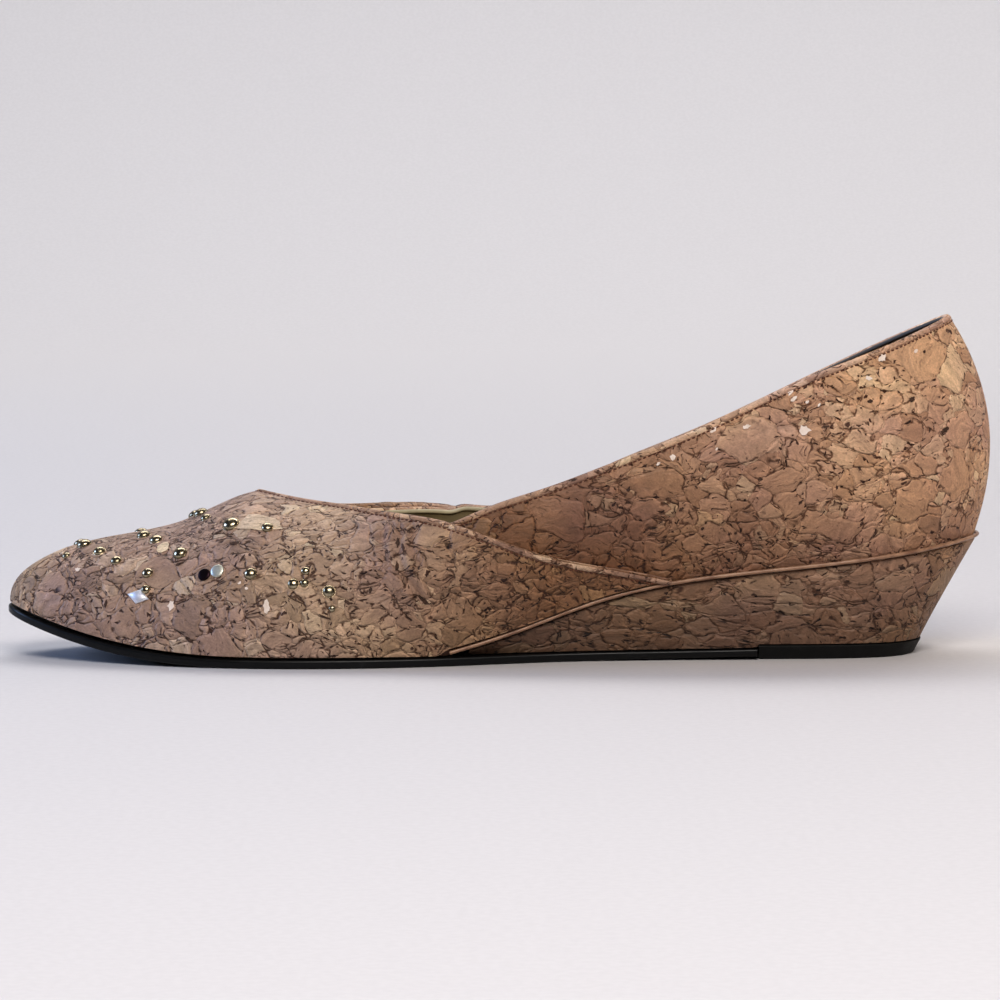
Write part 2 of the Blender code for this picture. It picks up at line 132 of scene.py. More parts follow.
SECTIONS = [
    Section(0.0078, 0.000, 0.000, 0.0625, 0.000, 0.000, 0, 5, 68.2),
    Section(0.0140, 0.063, 0.068, 0.0625, 0.000, 0.000, 35, 5, 71.9),
    Section(0.0370, 0.134, 0.145, 0.0625, 0.000, 0.000, 62, 5, 79.4),
    Section(0.0720, 0.210, 0.226, 0.0720, 0.000, 0.000, 76, 5, 84.7),
    Section(0.1190, 0.289, 0.316, 0.1190, 0.000, 0.000, 80, 5, 87.5),
    Section(0.1720, 0.358, 0.395, 0.1720, 0.000, 0.000, 84, 5, 88.5),
    Section(0.2150, 0.400, 0.440, 0.2150, 0.000, 0.000, 86, 6, 88.2),
    Section(0.2563, 0.429, 0.473, 0.2563, 0.000, 0.000, 88, 6, 89.0),
    Section(0.2970, 0.444, 0.495, 0.2970, 0.079, 0.084, 89, 7, 80),
    Section(0.3520, 0.444, 0.503, 0.3520, 0.184, 0.197, 90, 8, 66),
    Section(0.4020, 0.428, 0.492, 0.4020, 0.294, 0.312, 90, 10, 47),
    Section(0.4504, 0.400, 0.471, 0.4504, 0.376, 0.396, 90, 14, 34),
    Section(0.5160, 0.361, 0.434, 0.5160, 0.394, 0.422, 90, 17, 23),
    Section(0.5860, 0.332, 0.395, 0.5860, 0.377, 0.401, 90, 18, 18),
    Section(0.6760, 0.319, 0.361, 0.6760, 0.355, 0.369, 90, 18, 16),
    Section(0.7660, 0.324, 0.345, 0.7660, 0.336, 0.342, 93, 17, 16),
    Section(0.8440, 0.322, 0.329, 0.8385, 0.301, 0.304, 102, 17, 19),
    Section(0.9100, 0.274, 0.276, 0.8988, 0.232, 0.232, 124, 18, 25),
    Section(0.9530, 0.183, 0.183, 0.9360, 0.138, 0.138, 146, 19, 31),
    Section(0.9770, 0.088, 0.088, 0.9534, 0.060, 0.060, 165, 19, 34),
    Section(0.9835, 0.000, 0.000, 0.9575, 0.000, 0.000, 180, 19, 34.5),
]
SEAT_LINE = [
    Height(0.443, 0.080), Height(0.512, 0.252), Height(0.590, 0.492), Height(0.652, 0.632),
    Height(0.762, 0.764), Height(0.902, 0.896), Height(0.984, 1.000),
]
RIDGE_LINE = [
    Height(0.0625, 0.663), Height(0.0938, 0.712), Height(0.1445, 0.764), Height(0.1758, 0.809),
    Height(0.2164, 0.917), Height(0.2367, 0.969), Height(0.2563, 1.000),
]
VAMP_EDGE = [
    Height(0.2563, 1.000), Height(0.2938, 0.969), Height(0.3500, 0.941), Height(0.4020, 0.918),
    Height(0.4504, 0.882), Height(0.5430, 0.682), Height(0.6210, 0.567), Height(0.6950, 0.461),
]
TOPLINE = [
    Height(0.4504, 0.414), Height(0.5020, 0.478), Height(0.5420, 0.514), Height(0.6020, 0.577),
    Height(0.7010, 0.690), Height(0.8010, 0.824), Height(0.8830, 0.914), Height(0.9575, 1.000),
]
# Here the second number is how much lower the lateral edge is, in metres
LATERAL_DROP = [
    Height(0.2563, 0.0000), Height(0.3190, 0.0024), Height(0.3500, 0.0024), Height(0.3840, 0.0018),
    Height(0.4110, 0.0016), Height(0.4504, 0.0013), Height(0.4580, 0.0014), Height(0.4750, 0.0034),
    Height(0.5020, 0.0064), Height(0.6020, 0.0057), Height(0.8010, 0.0045), Height(0.8830, 0.0020),
    Height(0.9575, 0.0000),
]
STUDS = [
    Stud(0.065, 0.75, 0.0024, StudKind.DOME), Stud(0.085, 0.90, 0.0042, StudKind.DOME),
    Stud(0.103, 0.72, 0.0034, StudKind.DOME), Stud(0.120, 0.59, 0.0032, StudKind.DOME),
    Stud(0.143, 0.86, 0.0039, StudKind.DOME), Stud(0.158, 0.76, 0.0037, StudKind.DOME),
    Stud(0.152, 0.47, 0.0031, StudKind.DOME), Stud(0.150, 0.357, 0.0027, StudKind.DOME),
    Stud(0.143, 0.31, 0.0040, StudKind.STONE), Stud(0.185, 0.58, 0.0039, StudKind.DOME),
    Stud(0.200, 0.97, 0.0042, StudKind.DOME), Stud(0.208, 0.83, 0.0030, StudKind.DOME),
    Stud(0.210, 0.40, 0.0033, StudKind.DARK), Stud(0.223, 0.40, 0.0036, StudKind.DISC),
    Stud(0.235, 0.66, 0.0047, StudKind.DOME), Stud(0.255, 0.36, 0.0034, StudKind.DOME),
    Stud(0.270, 0.63, 0.0034, StudKind.DOME), Stud(0.297, 0.35, 0.0031, StudKind.DOME),
    Stud(0.308, 0.365, 0.0025, StudKind.DOME), Stud(0.309, 0.432, 0.0025, StudKind.DOME),
    Stud(0.332, 0.34, 0.0034, StudKind.DOME), Stud(0.335, 0.25, 0.0019, StudKind.DOME),
]
QUARTER_FLECKS = [
    Fleck(0.793, 69.2, 2.3, 1.9, 60), Fleck(0.796, 67.2, 2.2, 1.2, 10), Fleck(0.8055, 59.3, 4.2, 2.4, -32),
    Fleck(0.714, 59.4, 2.2, 1.3, 20), Fleck(0.7465, 60.3, 3.0, 1.1, -12), Fleck(0.674, 52.6, 2.2, 1.4, 120),
    Fleck(0.8925, 77.2, 2.6, 2.2, 30), Fleck(0.875, 72.2, 2.6, 1.2, -40), Fleck(0.810, 66.4, 1.1, 1.0, 0),
    Fleck(0.822, 65.6, 1.1, 0.8, 40), Fleck(0.717, 54.7, 0.9, 0.8, 80), Fleck(0.6595, 51.1, 1.2, 0.9, 0),
    Fleck(0.927, 78.6, 1.6, 1.0, 10),
]
VAMP_FLECKS = [
    Fleck(0.1761, 15.1, 2.8, 2.0, 70), Fleck(0.2709, 15.4, 4.2, 1.7, 85), Fleck(0.0826, 22.5, 2.0, 1.2, 0),
    Fleck(0.2445, 20.9, 1.1, 0.8, 30), Fleck(0.2511, 19.7, 1.2, 0.8, -20),
]
STRAW_CHIPS = [Fleck(0.2625, 34.9, 13.6, 6.4, 10), Fleck(0.1669, 28.0, 4.4, 3.4, 60)]
VAMP_BARK = [
    Fleck(0.401, 31.0, 3.2, 1.2, 80), Fleck(0.407, 29.6, 2.6, 1.0, 100), Fleck(0.400, 25.2, 3.6, 0.9, 85),
    Fleck(0.425, 17.3, 3.8, 1.3, -35), Fleck(0.315, 30.2, 3.3, 1.0, 0), Fleck(0.238, 30.0, 3.0, 1.1, -8),
    Fleck(0.224, 32.4, 2.1, 0.8, 10), Fleck(0.350, 16.6, 2.4, 1.1, -30), Fleck(0.328, 13.0, 3.6, 0.7, -15),
    Fleck(0.193, 7.2, 2.4, 1.1, -40), Fleck(0.373, 19.4, 2.0, 0.9, 75), Fleck(0.291, 28.0, 2.7, 0.8, -40),
    Fleck(0.247, 26.6, 2.7, 0.7, 55), Fleck(0.184, 24.6, 2.1, 0.8, 10), Fleck(0.233, 14.8, 1.2, 1.0, 0),
    Fleck(0.317, 23.6, 1.4, 0.8, 20), Fleck(0.413, 5.2, 1.0, 0.9, 0), Fleck(0.110, 15.0, 2.6, 0.9, 70),
]
QUARTER_BARK = [
    Fleck(0.682, 39.5, 1.6, 1.0, 20), Fleck(0.703, 34.4, 1.1, 0.9, 0), Fleck(0.736, 33.2, 1.1, 0.8, 30),
    Fleck(0.654, 34.7, 2.6, 0.7, -10), Fleck(0.670, 30.2, 3.1, 0.7, 28), Fleck(0.912, 66.6, 2.0, 1.4, 0),
    Fleck(0.892, 74.6, 1.1, 0.6, 0), Fleck(0.935, 78.4, 1.3, 0.9, 10), Fleck(0.828, 60.2, 2.1, 0.7, -10),
    Fleck(0.873, 66.4, 1.8, 1.0, -20), Fleck(0.848, 74.4, 2.5, 0.7, -25), Fleck(0.845, 25.2, 1.3, 0.9, 0),
    Fleck(0.937, 58.4, 3.4, 1.3, 5), Fleck(0.800, 41.0, 1.8, 0.8, 30), Fleck(0.760, 47.0, 1.5, 0.8, -40),
]


def spline(knots: Sequence[float], values: Sequence[float], at: np.ndarray) -> np.ndarray:
    """Natural cubic spline through values at knots.

    Args:
        knots: Rising places of the values.
        values: The values there.
        at: Where to read the curve.

    Returns:
        The curve at those places.
    """
    knots, values, at = (np.asarray(data, float) for data in (knots, values, at))
    steps, rises = np.diff(knots), np.diff(values)
    matrix, right = np.eye(len(knots)), np.zeros(len(knots))
    for i in range(1, len(knots) - 1):
        matrix[i, i - 1 : i + 2] = steps[i - 1], 2 * (steps[i - 1] + steps[i]), steps[i]
        right[i] = 6 * (rises[i] / steps[i] - rises[i - 1] / steps[i - 1])
    bends = np.linalg.solve(matrix, right)
    i = np.clip(np.searchsorted(knots, at, side="right") - 1, 0, len(steps) - 1)
    step = steps[i]
    late, early = (at - knots[i]) / step, (knots[i + 1] - at) / step
    curved = ((early**3 - early) * bends[i] + (late**3 - late) * bends[i + 1]) * step**2 / 6
    return early * values[i] + late * values[i + 1] + curved


def line_height(line: Sequence[Height], along: np.ndarray, scale: float) -> np.ndarray:
    """Height on a side line, whose shares are of scale."""
    rows = np.array(line)
    return spline(rows[:, 0], rows[:, 1], along) * scale


def smooth_step(low: float, high: float, value: np.ndarray) -> np.ndarray:
    """A soft ramp from 0 at low to 1 at high."""
    share = np.clip((value - low) / (high - low), 0, 1)
    return share * share * (3 - 2 * share)


def unit(vectors: np.ndarray) -> np.ndarray:
    """The vectors at length one."""
    return vectors / np.maximum(np.linalg.norm(vectors, axis=-1, keepdims=True), 1e-12)


@dataclass
class Last:
    """The shape that every piece is worked out from, as on a shoemaker's last."""

    length: float = 0.256
    ball_width: float = 0.078
    heel_height: float = 0.0295
    back_height: float = 0.0872
    throat_height: float = 0.0425
    toe_spring: float = 0.0112
    axis_y: float = -0.0022
    fit_gap: float = 0.0003
    vamp_proud: float = 0.0014
    outsole_thick: float = 0.0023
    waist_thick: float = 0.0020
    lift_thick: float = 0.0037
    flat_start: float = 0.25
    flat_end: float = 0.42
    breast: float = 0.760
    wedge_back_foot: float = 0.929
    welt_margin: float = 0.0020
    wedge_ledge: float = 0.0004
    wedge_taper: float = 0.0020
    heel_bluntness: float = 1.5
    waist_rise: float = 0.0009
    spring_power: float = 2.3
    low_handle: float = 0.30
    low_handle_vamp: float = 0.25
    high_handle_reach: float = 0.55
    high_handle_rise: float = 0.40
    pole_row: int = 2
    throat_row: int = 7
    notch_row: int = 11
    notch_drop: int = 5
    look_ups: int = 800
    halvings: int = 30

    def __post_init__(self) -> None:
        """Lays the section rows out round the outline, with a mirrored row past each end."""
        table = np.array(SECTIONS)
        mirror = np.array(Section(1, -1, -1, 1, -1, -1, -1, 1, 1.0))
        before, after = table[1] * mirror, table[-2] * mirror
        after[Section._fields.index("face")] += 360
        self.rib_table = np.vstack([before, table, after])
        widths = (self.rib_table[:, 1] + self.rib_table[:, 2]) / 2 * self.ball_width
        steps = np.hypot(np.diff(self.rib_table[:, 0] * self.length), np.diff(widths))
        places = np.concatenate([[0], np.cumsum(steps)])
        self.rib_places = places - places[1]
        self.row_places = self.rib_places[1:-1]
        self.throat_place = self.row_places[self.throat_row]
        self.notch_place = self.row_places[self.notch_row]
        self.end_place = self.row_places[-1]

    def x_at(self, along: np.ndarray) -> np.ndarray:
        """X of a share of the length from the toe."""
        return (np.asarray(along) - 0.5) * self.length

    def along_at(self, x: np.ndarray) -> np.ndarray:
        """Share of the length from the toe at an X."""
        return np.asarray(x) / self.length + 0.5

    def place_at(self, along: float) -> float:
        """Place round the outline where the foot of the upper passes a share of the length."""
        places = np.linspace(self.row_places[0], self.end_place, self.look_ups)
        return float(np.interp(along, spline(self.rib_places, self.rib_table[:, 0], places), places))

    def sole_bottom(self, along: np.ndarray) -> np.ndarray:
        """Height of the outsole's underside."""
        lifted = np.clip((self.flat_start - along) / self.flat_start, 0, 1)
        spring = self.toe_spring * lifted**self.spring_power
        waist = np.clip((along - self.flat_end) / (self.breast - self.flat_end), 0, 1)
        return spring + self.waist_rise * waist**2

    def outsole_top(self, along: np.ndarray) -> np.ndarray:
        """Height of the outsole's upper face."""
        thinner = (self.waist_thick - self.outsole_thick) * smooth_step(self.flat_end, self.breast, along)
        return self.sole_bottom(along) + self.outsole_thick + thinner

    def feather(self, along: np.ndarray) -> np.ndarray:
        """Height of the foot of the upper."""
        seat = line_height(SEAT_LINE, np.maximum(along, SEAT_LINE[0].along), self.heel_height)
        return np.maximum(seat, self.outsole_top(along - self.welt_margin / self.length) + self.fit_gap)

    def wedge_bottom(self, along: np.ndarray) -> np.ndarray:
        """Height of the wedge's underside."""
        return np.where(along < self.breast, self.outsole_top(along), self.lift_thick) + self.fit_gap

    def ribs(self, places: np.ndarray, side: Side) -> list[np.ndarray]:
        """Control points of the sections' curves from foot to top.

        Args:
            places: Places round the outline, in one row.
            side: Which side of the shoe.

        Returns:
            The foot, low handle, high handle and top of each section.
        """
        read = Section(*(spline(self.rib_places, column, places) for column in self.rib_table.T))
        closed = places <= self.throat_place
        top_along = np.where(places <= self.row_places[self.pole_row], SECTIONS[0].top_along, read.top_along)
        width = read.lateral if side > 0 else read.medial
        top_width = np.where(closed, 0.0, read.top_lateral if side > 0 else read.top_medial)
        foot_y, top_y = (self.axis_y + side * share * self.ball_width for share in (width, top_width))
        drop = line_height(LATERAL_DROP, top_along, 1.0) if side > 0 else 0.0
        ridge = line_height(RIDGE_LINE, top_along, self.throat_height) - self.vamp_proud
        edge = line_height(VAMP_EDGE, top_along, self.throat_height) - self.vamp_proud - drop
        topline = line_height(TOPLINE, top_along, self.back_height) - drop
        top_z = np.where(closed, ridge, np.where(top_along < TOPLINE[0].along, edge, topline))
        foot = np.stack([self.x_at(read.along), foot_y, self.feather(read.along)], axis=-1)
        top = np.stack([self.x_at(top_along), top_y, top_z], axis=-1)
        face, flare, lean = (np.radians(angle) for angle in (read.face, read.flare, read.lean))
        outward = np.stack([-np.cos(face), side * np.sin(face), np.zeros_like(face)], axis=-1)
        upward = np.array([0.0, 0.0, 1.0])
        rise, reach = top_z - foot[:, 2], np.hypot(*(foot - top)[:, :2].T)
        low = rise * (self.low_handle + self.low_handle_vamp * read.lean / 90)
        high = self.high_handle_reach * reach * np.sin(lean) + self.high_handle_rise * rise * np.cos(lean)
        sines, cosines = np.sin(flare)[:, None], np.cos(flare)[:, None]
        low_handle = foot + low[:, None] * (outward * sines + upward * cosines)
        sines, cosines = np.sin(lean)[:, None], np.cos(lean)[:, None]
        high_handle = top + high[:, None] * (outward * sines - upward * cosines)
        return [foot, low_handle, high_handle, top]

    def surface(self, places: np.ndarray, ups: np.ndarray, side: Side) -> np.ndarray:
        """Points of the upper's outer face.

        Args:
            places: Places round the outline.
            ups: Shares of the way up the sections; places and ups are spread over each other.
            side: Which side of the shoe.

        Returns:
            An array of points with one more axis than places and ups together.
        """
        places, ups = np.broadcast_arrays(np.asarray(places, float), np.asarray(ups, float))
        up = ups.reshape(-1, 1)
        left = 1 - up
        foot, low, high, top = self.ribs(places.reshape(-1), side)
        points = left**3 * foot + 3 * left**2 * up * low + 3 * left * up**2 * high + up**3 * top
        return points.reshape(*places.shape, 3)

    def normals(self, places: np.ndarray, ups: np.ndarray, side: Side) -> np.ndarray:
        """Directions out of the upper's outer face, which agree where the two sides meet."""
        places, ups = np.broadcast_arrays(np.asarray(places, float), np.asarray(ups, float))
        step, rise = 1e-4, 2e-3
        inside = np.clip(ups, rise, 1 - 2 * rise)
        across = self.surface(places + step, inside, side) - self.surface(places - step, inside, side)
        rising = self.surface(places, inside + rise, side) - self.surface(places, inside - rise, side)
        normals = unit(np.cross(across, rising) * -side)
        on_ridge = (ups > 1 - 1e-6) & (places <= self.throat_place + 1e-7)
        on_axis = on_ridge | (places <= 1e-9) | (places >= self.end_place - 1e-9)
        normals[..., 1] = np.where(on_axis, 0.0, normals[..., 1])
        return unit(normals)

    def wall(self, places: np.ndarray, ups: np.ndarray, side: Side, lift: float) -> np.ndarray:
        """Points at a height lift off the upper's outer face."""
        return self.surface(places, ups, side) + self.normals(places, ups, side) * lift

    def outline(self, places: np.ndarray, side: Side, offset: float) -> np.ndarray:
        """Plan points of the upper's foot on one side, moved outwards by offset."""
        step = 1e-5
        ahead, here, behind = (self.surface(places + shift, 0.0, side)[:, :2] for shift in (step, 0, -step))
        tangent = unit(ahead - behind)
        outward = np.column_stack([-tangent[:, 1], tangent[:, 0]]) * side
        return here + outward * offset

    def wedge_foot(self, places: np.ndarray, side: Side, margin: float) -> np.ndarray:
        """Plan points of the wedge's lower edge, drawn in from its top and most of all at the back."""
        points = self.outline(places, side, self.wedge_ledge - self.wedge_taper + margin)
        start = self.x_at(self.breast)
        back = self.x_at(SECTIONS[-1].along) + self.wedge_ledge - self.wedge_taper + margin
        behind = np.clip((points[:, 0] - start) / (back - start), 0, 1)
        full = self.x_at(self.wedge_back_foot) + margin - start
        drawn = start + full * (1 - (1 - behind) ** self.heel_bluntness)
        points[:, 0] = np.where(behind > 0, drawn, points[:, 0])
        return points

    def vamp_ends(self, ups: np.ndarray, side: Side) -> np.ndarray:
        """Places where the vamp's rear edge crosses the surface at shares up, found by halving."""
        low = np.full_like(ups, self.notch_place)
        high = np.full_like(ups, self.place_at(VAMP_EDGE[-1].along))
        for _ in range(self.halvings):
            middle = (low + high) / 2
            points = self.surface(middle, ups, side)
            along = self.along_at(points[:, 0])
            edge = line_height(VAMP_EDGE, along, self.throat_height) - self.vamp_proud
            if side > 0:
                share = smooth_step(VAMP_EDGE[-1].along, SECTIONS[self.notch_row].along, along)
                edge = edge - LATERAL_DROP[self.notch_drop].share * share
            above = points[:, 2] > edge
            low, high = np.where(above, low, middle), np.where(above, middle, high)
        return low


LAST = Last()


VAMP_TONES = (
    (0.00, "a18b76"), (0.20, "a9917e"), (0.45, "b39b87"), (0.65, "b89f8b"),
    (0.82, "bca591"), (0.94, "c3ae98"), (1.00, "cebda6"),
)
STRAW_TONES = ((0.00, "d4c2a9"), (1.00, "e3d4be"))
# Tones of the folded edges: paler cork than the sheet, and partly a painted highlight on the rolled edge
FOLD_TONES = (
    (0.00, "b09079"), (0.30, "c9a990"), (0.60, "daba9e"), (0.85, "eacbae"), (1.00, "ffebcd"),
)


def linear(code: str) -> tuple[float, float, float, float]:
    """The linear colour of an sRGB hex value such as b98a68."""
    shares = [int(code[i : i + 2], 16) / 255 for i in (0, 2, 4)]
    bright = [s / 12.92 if s <= 0.04045 else ((s + 0.055) / 1.055) ** 2.4 for s in shares]
    return (*bright, 1.0)


def fill(tree: bpy.types.NodeTree, node: bpy.types.Node, inputs: dict[str | int, object]) -> None:
    """Links or sets a node's inputs, by input name or number."""
    for key, value in inputs.items():
        if isinstance(value, bpy.types.NodeSocket):
            tree.links.new(value, node.inputs[key])
        else:
            node.inputs[key].default_value = value


def add_node(
    tree: bpy.types.NodeTree, kind: str, inputs: dict[str | int, object] | None = None, out: str | int = 0,
    stops: Sequence[tuple[float, str]] = (), **settings: object,
) -> bpy.types.NodeSocket:
    """Adds one shader node with its settings and links.

    Args:
        tree: The material's node tree.
        kind: The node's type name, without its common start.
        inputs: Values or output sockets by input name or number.
        out: The output that is wanted.
        stops: Places and hex colours of the node's ramp, if it has one.
        **settings: Properties of the node itself.

    Returns:
        The wanted output.
    """
    made = tree.nodes.new("ShaderNode" + kind)
    for name, value in settings.items():
        setattr(made, name, value)
    fill(tree, made, inputs or {})
    for i, (place, code) in enumerate(stops):
        elements = made.color_ramp.elements
        element = elements[i] if i < len(elements) else elements.new(1.0)
        element.position = place
        element.color = linear(code)
    return made.outputs[out]


def new_material(name: str) -> tuple[bpy.types.Material, bpy.types.NodeTree, bpy.types.Node]:
    """An empty node material with its tree and its Principled shader."""
    material = bpy.data.materials.new(name)
    material.use_nodes = True
    tree = material.node_tree
    return material, tree, tree.nodes["Principled BSDF"]


@dataclass(frozen=True)
class CorkSheet:
    """Agglomerated cork sheet: chips of bark pressed into a block, sliced thin and lightly varnished.

    The eye gets chips of 2 to 9 mm in close tans, most with curved growth bands, thin broken cracks and short
    dark pits between them, edges that stand a little proud under a painted highlight, and a low satin shine.
    Painted shade darkens the sheet towards one end.
    """

    name: str
    shift: tuple[float, float, float]
    chips_mm: tuple[float, float, float] = (2.4, 5.0, 9.0)
    broken: tuple[float, float] = (0.25, 0.76)
    hidden_mm: float = 9.0
    stretch: float = 1.25
    warps: tuple[tuple[float, float], ...] = ((6.5, 5.0), (2.4, 1.3), (0.7, 0.4))
    ring_mm: float = 6.0
    band_mm: float = 1.4
    fibre_mm: tuple[float, float] = (0.9, 5.0)
    grit_per_mm: float = 2.2
    drift_mm: float = 22.0
    break_mm: float = 2.0
    pit_mm: tuple[float, float] = (0.55, 1.6)
    crack_mm: float = 0.34
    roughness: float = 0.56
    relief: float = 1.35
    # Painted shade: darkened to this tone below the first mark along this way, in mm, and clear above the
    # second
    painted_shade_way: tuple[float, float, float] = (0.35, 0.0, 1.0)
    painted_shade_mm: tuple[float, float] = (35.0, 90.0)
    painted_shade_tone: str = "9d8b7d"
    tones: tuple[tuple[float, str], ...] = (
        (0.00, "bb977a"), (0.20, "c6a183"), (0.45, "cfab8d"), (0.65, "d2ad93"),
        (0.82, "d5b496"), (0.94, "d9bb9c"), (1.00, "e0c6a6"),
    )
    drifts: tuple[str, str] = ("e4dadd", "fff9ee")
    crack: str = "86705f"
    pit: str = "5f4436"

    def material(self) -> bpy.types.Material:
        """Builds the node material."""
        material, tree, shader = new_material(self.name)
        place = add_node(tree, "TexCoord", out="Object")
        moved = add_node(tree, "VectorMath", {0: place, 1: self.shift}, operation="ADD")
        spread = (1000 / self.stretch, 1000.0, 1000.0)
        in_mm = add_node(tree, "VectorMath", {0: moved, 1: spread}, operation="MULTIPLY")
        bent = in_mm
        for size, reach in self.warps:
            noise = add_node(tree, "TexNoise", {"Vector": in_mm, "Scale": 1 / size, "Detail": 1.0}, "Color")
            push = {0: noise, 1: (reach,) * 3, 2: bent}
            bent = add_node(tree, "VectorMath", push, operation="MULTIPLY_ADD")

        # Chips of three sizes: some large ones are broken into middle ones, and some of those again.
        levels = []
        for size in self.chips_mm:
            cells = {"Vector": bent, "Scale": 1 / size}
            cell = add_node(tree, "TexVoronoi", cells, "Color")
            edge = add_node(tree, "TexVoronoi", cells, feature="DISTANCE_TO_EDGE")
            gap = add_node(tree, "Math", {0: edge, 1: size}, operation="MULTIPLY")
            levels.append((cell, cell.node.outputs["Position"], gap))
        dice, centre, gap = levels[0]
        for (cell, middle, edge), share in zip(levels[1:], self.broken):
            first = add_node(tree, "SeparateColor", {0: cell})
            whole = add_node(tree, "Math", {0: first, 1: share}, operation="GREATER_THAN")
            dice = add_node(tree, "Mix", {0: whole, 6: dice, 7: cell}, 2, data_type="RGBA")
            centre = add_node(tree, "Mix", {0: whole, 4: centre, 5: middle}, 1, data_type="VECTOR")
            inner = add_node(tree, "Math", {0: whole, 1: self.hidden_mm, 2: gap}, operation="MULTIPLY_ADD")
            gap = add_node(tree, "Math", {0: edge, 1: inner}, operation="MINIMUM")
        red, green, blue = add_node(tree, "SeparateColor", {0: dice}).node.outputs[:3]

        # Growth bands lie on arcs, and fibres run along them, turned another way in each chip.
        local = add_node(tree, "VectorMath", {0: bent, 1: centre}, operation="SUBTRACT")
        turn = add_node(tree, "VectorMath", {0: dice, "Scale": 6.28}, operation="SCALE")
        spin = {"Vector": local, "Rotation": turn}
        turned = add_node(tree, "VectorRotate", spin, rotation_type="EULER_XYZ")
        aside = add_node(tree, "VectorMath", {0: turned, 1: (self.ring_mm, 0.0, 0.0)}, operation="ADD")
        ring = add_node(tree, "VectorMath", {0: aside}, "Value", operation="LENGTH")
        start = add_node(tree, "Math", {0: red, 1: 60.0}, operation="MULTIPLY")
        count = add_node(tree, "Math", {0: ring, 1: 1 / self.band_mm, 2: start}, operation="MULTIPLY_ADD")
        arcs = {"W": count, "Scale": 1.0, "Detail": 1.5, "Roughness": 0.5}
        bands = add_node(tree, "TexNoise", arcs, noise_dimensions="1D")
        fine_mm, long_mm = self.fibre_mm
        squeeze = (1 / fine_mm, 1 / long_mm, 1 / long_mm)
        drawn = add_node(tree, "VectorMath", {0: turned, 1: squeeze}, operation="MULTIPLY")
        strands = {"Vector": drawn, "Scale": 1.0, "Detail": 4.0, "Roughness": 0.65, "Distortion": 0.6}
        fibre = add_node(tree, "TexNoise", strands)
        fine = add_node(tree, "TexNoise", {"Vector": in_mm, "Scale": self.grit_per_mm, "Detail": 3.0})
        drift = add_node(tree, "TexNoise", {"Vector": in_mm, "Scale": 1 / self.drift_mm, "Detail": 1.0})

        # Colour: the chip's own tone, the sheet's slow drift, and painted shade that darkens one end of the
        # sheet.
        reach = add_node(tree, "VectorMath", {0: place, 1: self.painted_shade_way}, "Value", operation="DOT_PRODUCT")
        near, far = (end * MM for end in self.painted_shade_mm)
        clear = add_node(tree, "MapRange", {0: reach, 1: near, 2: far})
        shade_mix = {0: clear, 6: linear(self.painted_shade_tone), 7: linear("ffffff")}
        painted_shade = add_node(tree, "Mix", shade_mix, 2, data_type="RGBA")
        share = add_node(tree, "MapRange", {0: drift, 1: 0.36, 2: 0.64})
        cool, warm = (linear(code) for code in self.drifts)
        drifted = add_node(tree, "Mix", {0: share, 6: cool, 7: warm}, 2, data_type="RGBA")
        colour = add_node(tree, "ValToRGB", {0: green}, stops=self.tones)
        for cover in (painted_shade, drifted):
            colour = add_node(tree, "VectorMath", {0: colour, 1: cover}, operation="MULTIPLY")
        soft = {"interpolation_type": "SMOOTHSTEP"}
        # Painted highlight: the colour is lightened along each chip's edge, more on some chips than on others
        lip = add_node(tree, "MapRange", {0: gap, 1: 0.15, 2: 0.75, 3: 0.30, 4: 0.0}, **soft)
        shade = add_node(tree, "Math", {0: lip, 1: blue, 2: 1.0}, operation="MULTIPLY_ADD")
        for source, dark, light in ((bands, 0.86, 1.11), (fibre, 0.80, 1.16), (fine, 0.86, 1.14)):
            part = add_node(tree, "MapRange", {0: source, 1: 0.30, 2: 0.70, 3: dark, 4: light})
            shade = add_node(tree, "Math", {0: shade, 1: part}, operation="MULTIPLY")
        colour = add_node(tree, "VectorMath", {0: colour, "Scale": shade}, operation="SCALE")

        # Cracks come and go along the edges of the chips, and short pits lie beside them.
        breaks = add_node(tree, "TexNoise", {"Vector": in_mm, "Scale": 1 / self.break_mm, "Detail": 2.0})
        gate = add_node(tree, "MapRange", {0: breaks, 1: 0.46, 2: 0.62}, **soft)
        wide = add_node(tree, "MapRange", {0: gate, 3: 0.10, 4: self.crack_mm})
        depth = add_node(tree, "MapRange", {0: gate, 3: 0.30, 4: 1.0})
        line = add_node(tree, "MapRange", {0: gap, 1: 0.0, 2: wide, 3: depth, 4: 0.0}, **soft)
        fine_mm, long_mm = self.pit_mm
        squeeze = (1 / fine_mm, 1 / long_mm, 1 / long_mm)
        dashes = add_node(tree, "VectorMath", {0: turned, 1: squeeze}, operation="MULTIPLY")
        spots = add_node(tree, "TexNoise", {"Vector": dashes, "Scale": 1.0, "Detail": 1.0})
        hole = add_node(tree, "MapRange", {0: spots, 1: 0.64, 2: 0.70}, **soft)
        beside = add_node(tree, "MapRange", {0: gap, 1: 0.4, 2: 1.2, 3: 1.0, 4: 0.3}, **soft)
        pits = add_node(tree, "Math", {0: hole, 1: beside}, operation="MULTIPLY")
        for mask, code in ((line, self.crack), (pits, self.pit)):
            stain = {0: mask, 6: colour, 7: linear(code)}
            colour = add_node(tree, "Mix", stain, 2, data_type="RGBA", blend_type="MULTIPLY")

